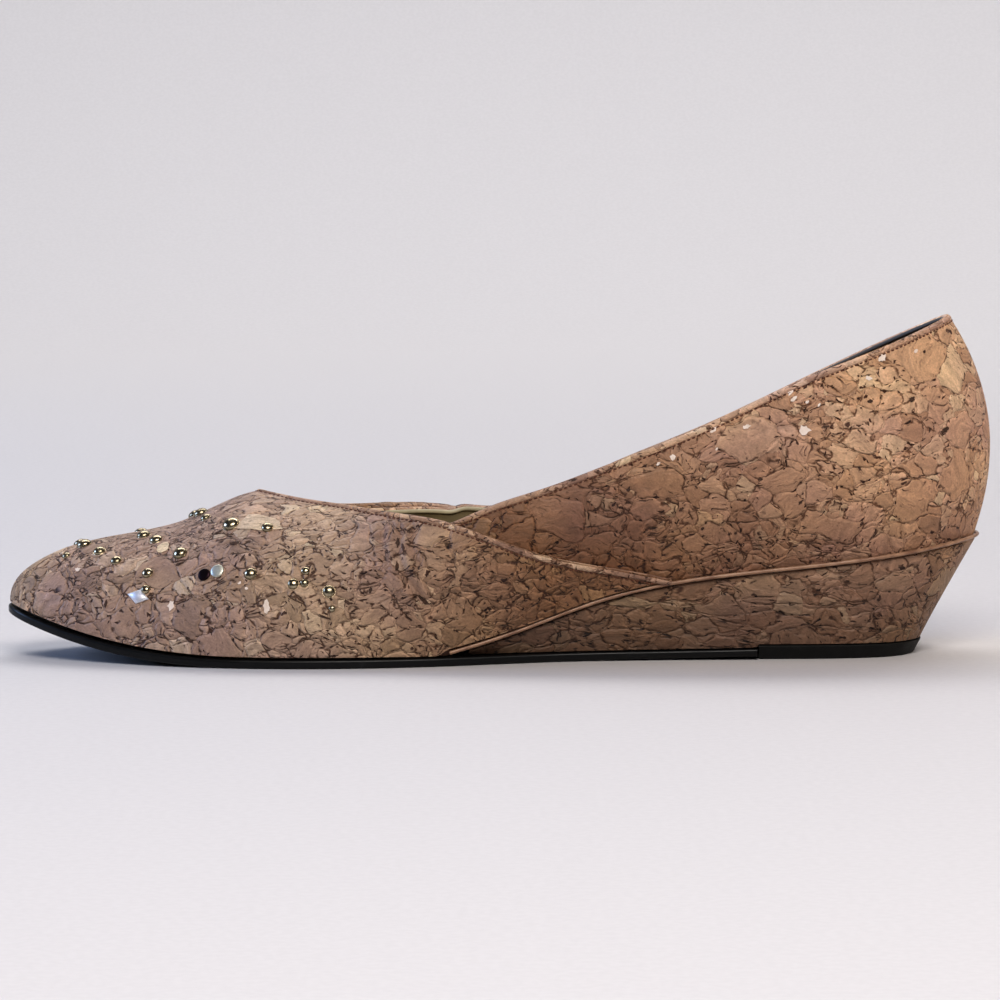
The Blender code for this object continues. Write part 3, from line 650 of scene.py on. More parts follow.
        # Relief in mm: each chip swells from its edge to its own height and leans a little.
        swell = add_node(tree, "MapRange", {0: gap, 1: 0.0, 2: 0.6, 3: 0.0, 4: 1.0}, **soft)
        height = add_node(tree, "Math", {0: blue, 1: 0.18, 2: 0.10}, operation="MULTIPLY_ADD")
        relief = add_node(tree, "Math", {0: swell, 1: height}, operation="MULTIPLY")
        lean = add_node(tree, "SeparateXYZ", {0: turned}, 1)
        rises = ((bands, 0.20), (fibre, 0.22), (fine, 0.05), (lean, 0.05), (line, -0.12), (pits, -0.2))
        for source, rise in rises:
            relief = add_node(tree, "Math", {0: source, 1: rise, 2: relief}, operation="MULTIPLY_ADD")
        bump = add_node(tree, "Bump", {"Height": relief, "Distance": MM, "Strength": self.relief})
        rough = {0: fibre, 1: 0.3, 2: 0.7, 3: self.roughness + 0.1, 4: self.roughness - 0.1}
        gloss = add_node(tree, "MapRange", rough)
        fill(tree, shader, {"Base Color": colour, "Roughness": gloss, "Normal": bump})
        fill(tree, shader, {"Specular IOR Level": 0.4})
        return material


@dataclass(frozen=True)
class Leather:
    """Finished leather or a skin like it: dyed, rolled and lightly waxed.

    The eye gets fine pore grain, soft mottling and a low shine. Painted shade can darken it towards the heel.
    """

    name: str
    dark: str
    light: str
    grain_mm: float = 0.55
    mottle_mm: float = 9.0
    pore_depth: float = 0.06 * MM
    relief: float = 0.35
    roughness: float = 0.5
    coat: float = 0.0
    wear_and_shade: str = ""
    shade_span_mm: tuple[float, float] = (35.0, 80.0)

    def material(self) -> bpy.types.Material:
        """Builds the node material."""
        material, tree, shader = new_material(self.name)
        place = add_node(tree, "TexCoord", out="Object")
        mottle = add_node(tree, "TexNoise", {"Vector": place, "Scale": 1000 / self.mottle_mm, "Detail": 5.0})
        colour = add_node(tree, "ValToRGB", {0: mottle}, stops=((0.32, self.dark), (0.68, self.light)))
        # Painted shade: towards the heel the colour goes over to this darker tone
        if self.wear_and_shade:
            reach = add_node(tree, "SeparateXYZ", {0: place})
            near, far = (end * MM for end in self.shade_span_mm)
            share = add_node(tree, "MapRange", {0: reach, 1: near, 2: far})
            heel_shade_mix = {0: share, 6: colour, 7: linear(self.wear_and_shade)}
            colour = add_node(tree, "Mix", heel_shade_mix, 2, data_type="RGBA")
        size = {"Vector": place, "Scale": 1000 / self.grain_mm}
        grain = add_node(tree, "TexVoronoi", size, feature="DISTANCE_TO_EDGE")
        pebble = add_node(tree, "MapRange", {0: grain, 1: 0.0, 2: 0.25})
        pores = {"Height": pebble, "Distance": self.pore_depth, "Strength": self.relief}
        bump = add_node(tree, "Bump", pores)
        rough = {0: mottle, 1: 0.3, 2: 0.7, 3: self.roughness + 0.08, 4: self.roughness - 0.06}
        gloss = add_node(tree, "MapRange", rough)
        fill(tree, shader, {"Base Color": colour, "Roughness": gloss, "Normal": bump})
        fill(tree, shader, {"Coat Weight": self.coat})
        return material


@dataclass(frozen=True)
class Rubber:
    """Moulded and trimmed black rubber: near black, with fine trimming marks and scuffs."""

    name: str
    base: str
    scuff: str
    roughness: float = 0.3
    coat: float = 0.4
    coat_roughness: float = 0.18
    mark_mm: float = 0.5
    mark_depth: float = 0.08 * MM
    scuff_mm: float = 6.25
    relief: float = 0.25
    specular: float = 0.25

    def material(self) -> bpy.types.Material:
        """Builds the node material."""
        material, tree, shader = new_material(self.name)
        place = add_node(tree, "TexCoord", out="Object")
        squeeze = (200 / self.mark_mm, 200 / self.mark_mm, 1000 / self.mark_mm)
        drawn = add_node(tree, "VectorMath", {0: place, 1: squeeze}, operation="MULTIPLY")
        marks = add_node(tree, "TexNoise", {"Vector": drawn, "Scale": 1.0, "Detail": 4.0})
        patches = {"Vector": place, "Scale": 1000 / self.scuff_mm, "Detail": 6.0, "Roughness": 0.7}
        wear_and_shade = add_node(tree, "TexNoise", patches)
        colour = add_node(tree, "ValToRGB", {0: wear_and_shade}, stops=((0.60, self.base), (0.82, self.scuff)))
        rough = {0: wear_and_shade, 1: 0.4, 2: 0.75, 3: self.roughness, 4: self.roughness + 0.25}
        gloss = add_node(tree, "MapRange", rough)
        bump = add_node(tree, "Bump", {"Height": marks, "Distance": self.mark_depth, "Strength": self.relief})
        fill(tree, shader, {"Base Color": colour, "Roughness": gloss, "Normal": bump})
        fill(tree, shader, {"Coat Weight": self.coat, "Coat Roughness": self.coat_roughness})
        fill(tree, shader, {"Specular IOR Level": self.specular})
        return material


@dataclass(frozen=True)
class Metal:
    """Stamped and plated metal: smooth, with faint tarnish that dulls the shine in patches."""

    name: str
    bright: str
    tarnish: str
    roughness: float = 0.16
    patch_mm: float = 1.2

    def material(self) -> bpy.types.Material:
        """Builds the node material."""
        material, tree, shader = new_material(self.name)
        place = add_node(tree, "TexCoord", out="Object")
        patch = add_node(tree, "TexNoise", {"Vector": place, "Scale": 1000 / self.patch_mm, "Detail": 3.0})
        colour = add_node(tree, "ValToRGB", {0: patch}, stops=((0.40, self.bright), (0.75, self.tarnish)))
        dulled = {0: patch, 1: 0.35, 2: 0.75, 3: self.roughness, 4: self.roughness + 0.2}
        gloss = add_node(tree, "MapRange", dulled)
        fill(tree, shader, {"Base Color": colour, "Roughness": gloss, "Metallic": 1.0})
        return material


@dataclass(frozen=True)
class Paper:
    """Matt seamless background paper: pale, even and slightly fibrous."""

    name: str = "background_paper"
    light: str = "cdcbcc"
    dark: str = "cac8c9"
    fibre_mm: float = 2.0

    def material(self) -> bpy.types.Material:
        """Builds the node material."""
        material, tree, shader = new_material(self.name)
        place = add_node(tree, "TexCoord", out="Object")
        fibre = add_node(tree, "TexNoise", {"Vector": place, "Scale": 1000 / self.fibre_mm, "Detail": 2.0})
        colour = add_node(tree, "ValToRGB", {0: fibre}, stops=((0.35, self.dark), (0.65, self.light)))
        fill(tree, shader, {"Base Color": colour, "Roughness": 0.75})
        return material


GridList = list[np.ndarray]
FaceList = list[list[int]]
HeightLine = Callable[[np.ndarray], np.ndarray]
Finish = CorkSheet | Leather | Rubber | Metal


def add_object(name: str, mesh: bpy.types.Mesh, smooth_angle: float = SMALL_ANGLE) -> bpy.types.Object:
    """Puts a mesh into the scene, smooth except at edges sharper than an angle in degrees."""
    mesh.shade_smooth()
    mesh.set_sharp_from_angle(angle=math.radians(smooth_angle))
    made = bpy.data.objects.new(name, mesh)
    bpy.context.scene.collection.objects.link(made)
    return made


def grid_faces(rows: int, columns: int, start: int = 0) -> np.ndarray:
    """Corner numbers of the faces of a grid of points, counted from start."""
    index = start + np.arange(rows * columns).reshape(rows, columns)
    corners = [index[:-1, :-1], index[1:, :-1], index[1:, 1:], index[:-1, 1:]]
    return np.stack(corners, axis=-1).reshape(-1, 4)


def ring_faces(sides: int, rings: int) -> FaceList:
    """Corner numbers of the faces of rings of points between two poles."""
    faces, last = [], 1 + (rings - 1) * sides
    for i in range(sides):
        j = (i + 1) % sides
        faces.append([0, 1 + j, 1 + i])
        for low in range(1, last, sides):
            faces.append([low + i, low + j, low + sides + j, low + sides + i])
        faces.append([last + i, last + j, last + sides])
    return faces


def add_piece(
    name: str, points: np.ndarray, faces: np.ndarray | FaceList, smooth_angle: float = SOFT_ANGLE
) -> bpy.types.Object:
    """Adds a closed, welded, outward-facing mesh to the scene.

    Args:
        name: Name of the piece.
        points: Points of the mesh.
        faces: Corner numbers of each face.
        smooth_angle: Edges sharper than this, in degrees, stay crisp.

    Returns:
        The new object.
    """
    mesh = bpy.data.meshes.new(name)
    mesh.from_pydata(np.asarray(points).tolist(), [], [list(map(int, face)) for face in faces])
    builder = bmesh.new()
    builder.from_mesh(mesh)
    bmesh.ops.remove_doubles(builder, verts=builder.verts, dist=WELD)
    bmesh.ops.dissolve_degenerate(builder, edges=builder.edges, dist=SLIVER)
    bmesh.ops.recalc_face_normals(builder, faces=builder.faces)
    if builder.calc_volume(signed=True) < 0:
        bmesh.ops.reverse_faces(builder, faces=builder.faces)
    builder.to_mesh(mesh)
    builder.free()
    return add_object(name, mesh, smooth_angle)


def from_grids(name: str, grids: GridList, smooth_angle: float = SOFT_ANGLE) -> bpy.types.Object:
    """One piece from grids of points that meet along their edges."""
    points, faces, start = [], [], 0
    for grid in grids:
        faces.append(grid_faces(*grid.shape[:2], start))
        points.append(grid.reshape(-1, 3))
        start += len(points[-1])
    return add_piece(name, np.vstack(points), np.vstack(faces), smooth_angle)


def shell_grids(outer: dict[Side, np.ndarray], inner: dict[Side, np.ndarray], rim_from: int) -> GridList:
    """Grids of a closed shell whose two sides meet in front of column rim_from.

    Args:
        outer: Outer face of each side, as places by ups.
        inner: Inner face of each side.
        rim_from: First column of places with an open top.

    Returns:
        The faces, the strip along the foot, and the strip along the open top.
    """
    grids = []
    for side in Side:
        grids += [outer[side], inner[side]]
        grids.append(np.stack([outer[side][:, 0], inner[side][:, 0]]))
        grids.append(np.stack([outer[side][rim_from:, -1], inner[side][rim_from:, -1]]))
    return grids


def ripple(
    points: np.ndarray, height: float, seed: int, waves: int = 14, lengths_mm: tuple[float, float] = (9, 30)
) -> np.ndarray:
    """A slight unevenness of a hand-lasted sheet, as a sum of a few long waves."""
    random = np.random.default_rng(seed)
    total = np.zeros(points.shape[:-1])
    for _ in range(waves):
        direction = unit(random.normal(size=3))
        length = random.uniform(*lengths_mm) * MM
        total += np.sin(points @ direction * 2 * math.pi / length + random.uniform(0, 2 * math.pi))
    return total * height / math.sqrt(waves)


def resample(path: np.ndarray, step: float, values: np.ndarray | None = None) -> np.ndarray:
    """Reads evenly spaced places on a polyline.

    Args:
        path: Points of the polyline.
        step: Distance between places.
        values: Rows of values at its points, where these are wanted and not the points.

    Returns:
        The points or values at the places.
    """
    reach = np.concatenate([[0], np.cumsum(np.linalg.norm(np.diff(path, axis=0), axis=1))])
    at = np.linspace(0, reach[-1], max(int(round(reach[-1] / step)), LEAST_STEPS) + 1)
    rows = path if values is None else values
    return np.column_stack([np.interp(at, reach, column) for column in rows.T])


def relax(rows: np.ndarray, rounds: int, closed: bool) -> np.ndarray:
    """Softens corners of a row of points or directions by averaging neighbours."""
    for _ in range(rounds):
        if closed:
            rows = (np.roll(rows, 1, axis=0) + 2 * rows + np.roll(rows, -1, axis=0)) / 4
        else:
            rows = np.concatenate([rows[:1], (rows[:-2] + 2 * rows[1:-1] + rows[2:]) / 4, rows[-1:]])
    return rows


PATH_ROUNDS = 5
NORMAL_ROUNDS = 12


@dataclass
class Hem:
    """A folded edge: its path on the upper's face, with the direction out of the face and into the sheet."""

    points: np.ndarray
    normals: np.ndarray
    inward: np.ndarray
    closed: bool

    @classmethod
    def along(cls, path: np.ndarray, normals: np.ndarray, closed: bool, step: float = 0.7 * MM) -> Hem:
        """A hem along a polyline with the directions out of the face at its points."""
        points, out = resample(path, step), resample(path, step, normals)
        if closed:
            points, out = points[:-1], out[:-1]
        points = relax(points, PATH_ROUNDS, closed)
        out = unit(relax(out, NORMAL_ROUNDS, closed))
        if closed:
            tangent = unit(np.roll(points, -1, axis=0) - np.roll(points, 1, axis=0))
        else:
            tangent = unit(np.gradient(points, axis=0))
        out = unit(out - tangent * np.sum(out * tangent, axis=1, keepdims=True))
        return cls(points, out, np.cross(out, tangent), closed)

    def at(self, depth: float, lift: float) -> np.ndarray:
        """Points at a depth into the sheet and a lift off its face."""
        return self.points + self.inward * depth + self.normals * lift

    def sweep(self, profile: Sequence[tuple[float, float]]) -> GridList:
        """Grids of a bead with a closed profile of depth and lift in mm, tapered to a point at open ends."""
        loop = [*profile, profile[0]]
        grid = np.stack([self.at(depth * MM, lift * MM) for depth, lift in loop], axis=1)
        if self.closed:
            return [np.concatenate([grid, grid[:1]])]
        centres = grid[:, :-1].mean(axis=1, keepdims=True)
        ends = [np.repeat(centres[i : i + 1], len(loop), axis=1) for i in (0, -1)]
        return [np.concatenate([ends[0], grid, ends[1]])]


def capsule(sides: int, rings: int) -> tuple[np.ndarray, FaceList]:
    """A unit stitch: a rounded bar along X, with its points and faces."""
    turns = np.linspace(0, 2 * math.pi, sides, endpoint=False)
    shares = np.linspace(-1, 1, rings + 2)[1:-1]
    radii = np.sqrt(1 - np.abs(shares) ** 3)
    points = [(-1.0, 0.0, 0.0)]
    for share, radius in zip(shares, radii):
        points += [(share, radius * math.cos(turn), radius * math.sin(turn)) for turn in turns]
    points.append((1.0, 0.0, 0.0))
    return np.array(points), ring_faces(sides, rings)


def copies(name: str, points: np.ndarray, faces: FaceList, places: Sequence[Matrix]) -> bpy.types.Object:
    """One piece from many placed copies of a small mesh."""
    spread, corners = [], []
    for number, place in enumerate(places):
        turn = np.array(place)
        spread.append(points @ turn[:3, :3].T + turn[:3, 3])
        corners += [[corner + number * len(points) for corner in face] for face in faces]
    mesh = bpy.data.meshes.new(name)
    mesh.from_pydata(np.vstack(spread).tolist(), [], corners)
    mesh.validate()
    return add_object(name, mesh)


def frame_matrix(origin: np.ndarray, ahead: np.ndarray, out: np.ndarray, sizes: Sequence[float]) -> Matrix:
    """A placing matrix with X ahead, Z out and the given sizes along X, Y and Z."""
    axes = np.column_stack([ahead, np.cross(out, ahead), out]) * np.asarray(sizes)
    made = np.eye(4)
    made[:3, :3] = axes
    made[:3, 3] = origin
    return Matrix(made.tolist())


def install(piece: bpy.types.Object, finish: Finish, slot: Slot, nodes: Sequence[str] = ()) -> None:
    """Dresses a piece, fixes it to the shoe and hides the CAD nodes that it stands for.

    Args:
        piece: The piece.
        finish: What it is made of. Pieces of one finish share its material.
        slot: Its material slot in the part.
        nodes: The CAD nodes that it replaces.
    """
    piece.data.materials.clear()
    piece.data.materials.append(bpy.data.materials.get(finish.name) or finish.material())
    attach(piece, "root")
    if nodes:
        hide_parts(*nodes)
    LOG.info("%s: %d faces, slot %s", piece.name, len(piece.data.polygons), slot.value)


# Cork sheet pared thin and turned over an edge: smaller chips, less relief, and painted shade below the
# heel's height, so it is paler towards the heel
FOLD_CORK = CorkSheet(
    "cork_sheet_folded", (0.83, 0.41, 0.17), chips_mm=(1.8, 3.6, 7.0),
    relief=0.8, roughness=0.5, crack_mm=0.25,
    painted_shade_way=(0.0, 0.0, 1.0), painted_shade_mm=(45.0, 82.0), painted_shade_tone="d8d4d0", tones=FOLD_TONES,
)


@dataclass
class Upper:
    """The quarter's cork wall, its lining with a turned edge, and the folded collar.

    The lining is dyed olive leather, matt, and its turned edge is paler; painted shade darkens both towards
    the heel.
    """

    wall: float = 0.0015
    lining_gap: float = 0.00005
    lining_thick: float = 0.0004
    columns: tuple[int, int] = (82, 330)
    rows: int = 34
    lining_columns: tuple[int, int] = (60, 190)
    lining_rows: int = 26
    collar_steps: int = 500
    unevenness: float = 0.00006
    seed: int = 3
    collar_profile: tuple[tuple[float, float], ...] = (
        (1.65, -0.25), (1.6, 0.08), (1.4, 0.34), (1.05, 0.47), (0.7, 0.46), (0.32, 0.3), (0.05, 0.0),
        (-0.08, -0.45), (-0.12, -0.95), (-0.02, -1.45), (0.14, -1.82), (0.32, -2.0), (0.48, -2.02),
        (0.58, -1.9), (0.8, -1.2), (1.0, -0.6),
    )
    binding_profile: tuple[tuple[float, float], ...] = (
        (0.1, -1.2), (-0.12, -1.36), (-0.1, -1.6), (-0.02, -1.92), (0.14, -2.15), (0.4, -2.22), (0.6, -2.18),
        (0.68, -2.05), (0.55, -1.9), (0.3, -1.5),
    )
    lining_trim: float = 0.0010
    trimmed_from: float = 0.30
    # The quarter's cork keeps the sheet's painted shade, darker low down and towards the toe
    cork: CorkSheet = CorkSheet("cork_sheet_quarter", (0.0, 0.0, 0.0))
    # Painted shade darkens the lining and its binding towards the heel
    lining: Leather = Leather("lining_leather", "9f9174", "ada07f", wear_and_shade="454240")
    binding: Leather = Leather("binding_leather", "a49a7e", "beb598", wear_and_shade="454240")

    def places(self, columns: tuple[int, int]) -> np.ndarray:
        """Places of a wall's columns, so many before and behind the throat, with one on it."""
        front, back = columns
        ahead = np.linspace(0, LAST.throat_place, front)
        return np.concatenate([ahead, np.linspace(LAST.throat_place, LAST.end_place, back)[1:]])[:, None]

    def build_wall(self) -> bpy.types.Object:
        """The quarter: one hollow wall, open at the collar and underneath."""
        places, ups = self.places(self.columns), np.linspace(0, 1, self.rows)[None, :]
        outer, inner = {}, {}
        for side in Side:
            face = LAST.surface(places, ups, side)
            out = LAST.normals(places, ups, side)
            outer[side] = face + out * ripple(face, self.unevenness, self.seed)[..., None]
            inner[side] = face - out * self.wall
        return from_grids("quarter_wall", shell_grids(outer, inner, self.columns[0] - 1))

    def build_lining(self) -> bpy.types.Object:
        """The lining: a thin leather sheet inside the wall."""
        places, shares = self.places(self.lining_columns), np.linspace(0, 1, self.lining_rows)[None, :]
        trim = self.lining_trim * smooth_step(LAST.throat_place, LAST.place_at(self.trimmed_from), places)
        outer, inner = {}, {}
        for side in Side:
            rise = LAST.surface(places, 1.0, side)[..., 2] - LAST.surface(places, 0.0, side)[..., 2]
            ups = shares * (1 - trim / rise)
            face = LAST.surface(places, ups, side)
            out = LAST.normals(places, ups, side)
            outer[side] = face - out * (self.wall + self.lining_gap)
            inner[side] = face - out * (self.wall + self.lining_gap + self.lining_thick)
        return from_grids("quarter_lining", shell_grids(outer, inner, self.lining_columns[0] - 1))

    def collar(self) -> Hem:
        """The hem round the whole opening."""
        places = np.linspace(LAST.throat_place, LAST.end_place, self.collar_steps)
        tops = {side: LAST.surface(places, 1.0, side) for side in Side}
        outs = {side: LAST.normals(places, 1.0, side) for side in Side}
        path = np.vstack([tops[Side.LATERAL], tops[Side.MEDIAL][-2::-1]])
        normals = np.vstack([outs[Side.LATERAL], outs[Side.MEDIAL][-2::-1]])
        return Hem.along(path, normals, True)

    def assemble(self) -> tuple[bpy.types.Object, Hem]:
        """Builds and dresses the pieces.

        Returns:
            The wall and the hem of its collar, for the stitches.
        """
        wall, hem = self.build_wall(), self.collar()
        install(wall, self.cork, Slot.CORK, ["upper"])
        install(self.build_lining(), self.lining, Slot.LINING)
        install(from_grids("collar_fold", hem.sweep(self.collar_profile)), FOLD_CORK, Slot.CORK)
        install(from_grids("lining_binding", hem.sweep(self.binding_profile)), self.binding, Slot.LINING)
        return wall, hem


class Crease(NamedTuple):
    """A soft flex crease of the vamp: shares along and heights of its path, depth and half width, in mm."""

    path: tuple[tuple[float, float], ...]
    depth: float
    wide: float


CREASES = [
    Crease(((0.386, 34.0), (0.384, 30.5), (0.388, 27.0)), 0.50, 1.0),
    Crease(((0.404, 33.0), (0.400, 28.5), (0.405, 24.0), (0.424, 17.0)), 0.70, 1.1),
    Crease(((0.418, 34.0), (0.414, 30.0), (0.420, 26.0)), 0.50, 1.0),
    Crease(((0.452, 30.0), (0.478, 24.0), (0.520, 21.0)), 0.25, 1.5),
]


CREASE_STEP = 0.5 * MM
LIP_SHARE = 0.45
LIP_PLACE = 1.9


def creasing(points: np.ndarray) -> np.ndarray:
    """How far flexing has pressed the vamp in at points of its face, with a low lip beside each crease."""
    total = np.zeros(points.shape[:-1])
    for crease in CREASES:
        path = np.array([(LAST.x_at(along), height * MM) for along, height in crease.path])
        spots = resample(path, CREASE_STEP)
        gaps = np.min(np.linalg.norm(points[..., None, ::2] - spots, axis=-1), axis=-1) / (crease.wide * MM)
        total += crease.depth * MM * (np.exp(-(gaps**2)) - LIP_SHARE * np.exp(-((gaps - LIP_PLACE) ** 2)))
    return total


@dataclass
class Vamp:
    """The vamp's cork layer over the quarter, and its folded edge."""

    under: float = 0.00015
    piping_radius: float = 0.0006
    piping_start: float = 0.450
    front_columns: int = 110
    slant_columns: int = 190
    rows: int = 58
    edge_steps: tuple[int, int] = (160, 300)
    piping_ramp: float = 0.014
    unevenness: float = 0.00008
    seed: int = 5
    hem_profile: tuple[tuple[float, float], ...] = (
        (1.6, 1.10), (1.55, 1.45), (1.3, 1.74), (0.98, 1.86), (0.65, 1.82), (0.3, 1.64), (0.04, 1.32),
        (-0.06, 0.95), (-0.08, 0.5), (0.0, 0.12), (0.3, 0.03), (1.2, 0.35), (1.5, 0.8),
    )
    # The vamp's cork has painted shade that darkens it towards its rear
    cork: CorkSheet = CorkSheet(
        "cork_sheet_vamp", (0.31, 0.12, 0.05), chips_mm=(2.1, 4.0, 7.0), painted_shade_way=(-1.0, 0.0, 0.0),
        painted_shade_mm=(-12.0, 42.0), painted_shade_tone="d2b99b", tones=VAMP_TONES, crack="735a48",
    )

    def foot(self, places: np.ndarray, side: Side) -> np.ndarray:
        """Share up each section where the vamp starts: at the sole in front, over the piping on the wedge."""
        along = spline(LAST.rib_places, LAST.rib_table[:, 0], places)
        on_wedge = smooth_step(self.piping_start - self.piping_ramp, self.piping_start, along)
        room = LAST.fit_gap + (2 * self.piping_radius + LAST.fit_gap) * on_wedge
        return room / (LAST.surface(places, 1.0, side)[..., 2] - LAST.surface(places, 0.0, side)[..., 2])

    def layout(self, side: Side) -> tuple[np.ndarray, np.ndarray]:
        """Places and shares up of the vamp's grid, whose columns slant back behind the throat."""
        ups = np.linspace(0, 1, self.rows)
        ends = LAST.vamp_ends(ups, side)
        front = np.repeat(np.linspace(0, LAST.throat_place, self.front_columns)[:, None], self.rows, axis=1)
        shares = np.linspace(0, 1, self.slant_columns + 1)[1:, None]
        places = np.vstack([front, LAST.throat_place + (ends[None, :] - LAST.throat_place) * shares])
        first = self.foot(places, side)
        return places, first + (1 - first) * ups[None, :]

    def build_sheet(self) -> bpy.types.Object:
        """The vamp: one sheet over the toe, with its rear edges slanting down to the wedge."""
        outer, inner = {}, {}
        for side in Side:
            places, ups = self.layout(side)
            face, out = LAST.surface(places, ups, side), LAST.normals(places, ups, side)
            lift = LAST.vamp_proud + ripple(face, self.unevenness, self.seed) - creasing(face)
            outer[side] = face + out * lift[..., None]
            inner[side] = face + out * self.under
        grids = shell_grids(outer, inner, self.front_columns - 1)
        grids += [np.stack([outer[side][-1], inner[side][-1]]) for side in Side]
        return from_grids("vamp_sheet", grids)

    def edge(self) -> Hem:
        """The hem along the vamp's free edge, from the medial wedge over the throat to the lateral wedge."""
        rising, level = self.edge_steps
        ups = np.linspace(0, 1, rising)
        paths, outs = [], []
        for side in Side:
            ends = LAST.vamp_ends(ups, side)
            first = self.foot(ends, side)
            rises = first + (1 - first) * ups
            tops = np.linspace(ends[-1], LAST.throat_place, level)[1:]
            places = np.concatenate([ends, tops])
            rises = np.concatenate([rises, np.ones_like(tops)])
            paths.append(LAST.surface(places, rises, side))
            outs.append(LAST.normals(places, rises, side))
        path = np.vstack([paths[0], paths[1][-2::-1]])
        normals = np.vstack([outs[0], outs[1][-2::-1]])
        return Hem.along(path, normals, False)

    def assemble(self) -> tuple[bpy.types.Object, Hem]:
        """Builds and dresses the pieces.

        Returns:
            The sheet and the hem of its edge, for the stitches.
        """
        sheet, hem = self.build_sheet(), self.edge()
        install(sheet, self.cork, Slot.CORK, ["vamp"])
        install(from_grids("vamp_fold", hem.sweep(self.hem_profile)), FOLD_CORK, Slot.CORK)
        return sheet, hem


@dataclass
class Seams:
    """Rows of waxed thread beside the folded edges: dark, round and slightly shiny."""

    depth: float = 0.00185
    pitch: float = 0.00135
    length: float = 0.0010
    width: float = 0.00040
    height: float = 0.00022
    least_facing: float = 0.2
    sides: int = 8
    rings: int = 5
    thread: Leather = Leather("waxed_thread", "4a2617", "6b3b25", grain_mm=0.3, mottle_mm=1.0)

    def places(self, hem: Hem, lift: float, sheet: bpy.types.Object) -> list[Matrix]:
        """Where the stitches of a hem lie on the sheet it is sewn to.

        Args:
            hem: The folded edge.
            lift: Height of the sheet's face over the hem's path.
            sheet: The piece whose face carries the stitches.

        Returns:
            A placing matrix for each stitch.
        """
        tree = BVHTree.FromPolygons(
            [vertex.co for vertex in sheet.data.vertices], [face.vertices for face in sheet.data.polygons]
        )
        row = hem.at(self.depth, lift)
        path = np.vstack([row, row[:1]]) if hem.closed else row
        points = resample(path, self.pitch / 2)
        made = []
        for i in range(1, len(points) - 1, 2):
            found, out, _, _ = tree.find_nearest(Vector(points[i]))
            ahead = unit(points[i + 1] - points[i - 1])
            normal = np.array(out)
            nearest = np.argmin(np.linalg.norm(hem.points - points[i], axis=1))
            if normal @ hem.normals[nearest] < self.least_facing:
                continue
            ahead = unit(ahead - normal * (ahead @ normal))
            sizes = (self.length / 2, self.width / 2, self.height)
            made.append(frame_matrix(np.array(found), ahead, normal, sizes))
        return made

    def assemble(self, name: str, hem: Hem, lift: float, sheet: bpy.types.Object) -> None:
        """Builds and dresses the stitches of one hem, as places takes it."""
        points, faces = capsule(self.sides, self.rings)
        install(copies(name, points, faces, self.places(hem, lift, sheet)), self.thread, Slot.PIPING)


def slab(
    edges_top: dict[Side, np.ndarray], edges_low: dict[Side, np.ndarray], high: HeightLine, low: HeightLine,
    top_round: float, low_round: float, steps: int = 5, wall_steps: int = 7, face_steps: int = 6,
) -> GridList:
    """Grids of a sole-like solid with rounded upper and lower edges.

    Args:
        edges_top: Plan of each side's upper edge.
        edges_low: Plan of each side's lower edge.
        high: Height of the upper face at a share of the length.
        low: Height of the lower face.
        top_round: Radius of the upper edge.
        low_round: Radius of the lower edge.
        steps: Facets of each rounded edge.
        wall_steps: Facets of the wall between them.
        face_steps: Facets across the upper and lower faces.

    Returns:
        The faces, sides and ends.
    """
    turns = np.linspace(0, math.pi / 2, steps + 1)
    loops = {}
    for side in Side:
        top, foot = edges_top[side], edges_low[side]
        inward = {}
        for name, edge in (("top", top), ("foot", foot)):
            tangent = unit(np.gradient(edge, axis=0))
            inward[name] = np.column_stack([tangent[:, 1], -tangent[:, 0]]) * side
        roof, floor = high(LAST.along_at(top[:, 0])), low(LAST.along_at(foot[:, 0]))
        rows = []
        for turn in turns:
            plan = top + inward["top"] * top_round * (1 - math.sin(turn))
            rows.append(np.column_stack([plan, roof - top_round * (1 - math.cos(turn))]))
        first = np.column_stack([top, roof - top_round])
        last = np.column_stack([foot, floor + low_round])
        rows += [first + (last - first) * share for share in np.linspace(0, 1, wall_steps + 1)[1:]]
        for turn in turns[1:]:
            plan = foot + inward["foot"] * low_round * (1 - math.cos(turn))
            rows.append(np.column_stack([plan, floor + low_round * (1 - math.sin(turn))]))
        loops[side] = np.array(rows)
    near, far = loops[Side.MEDIAL], loops[Side.LATERAL]
    spread = np.linspace(0, 1, face_steps + 1)[:, None, None]
    upper_face = near[0] + (far[0] - near[0]) * spread
    lower_face = near[-1] + (far[-1] - near[-1]) * spread
    grids = [near, far, upper_face, lower_face]
    for i in (0, -1):
        grids.append(near[None, :, i] + (far[None, :, i] - near[None, :, i]) * spread[:, :, 0:1])
    return grids


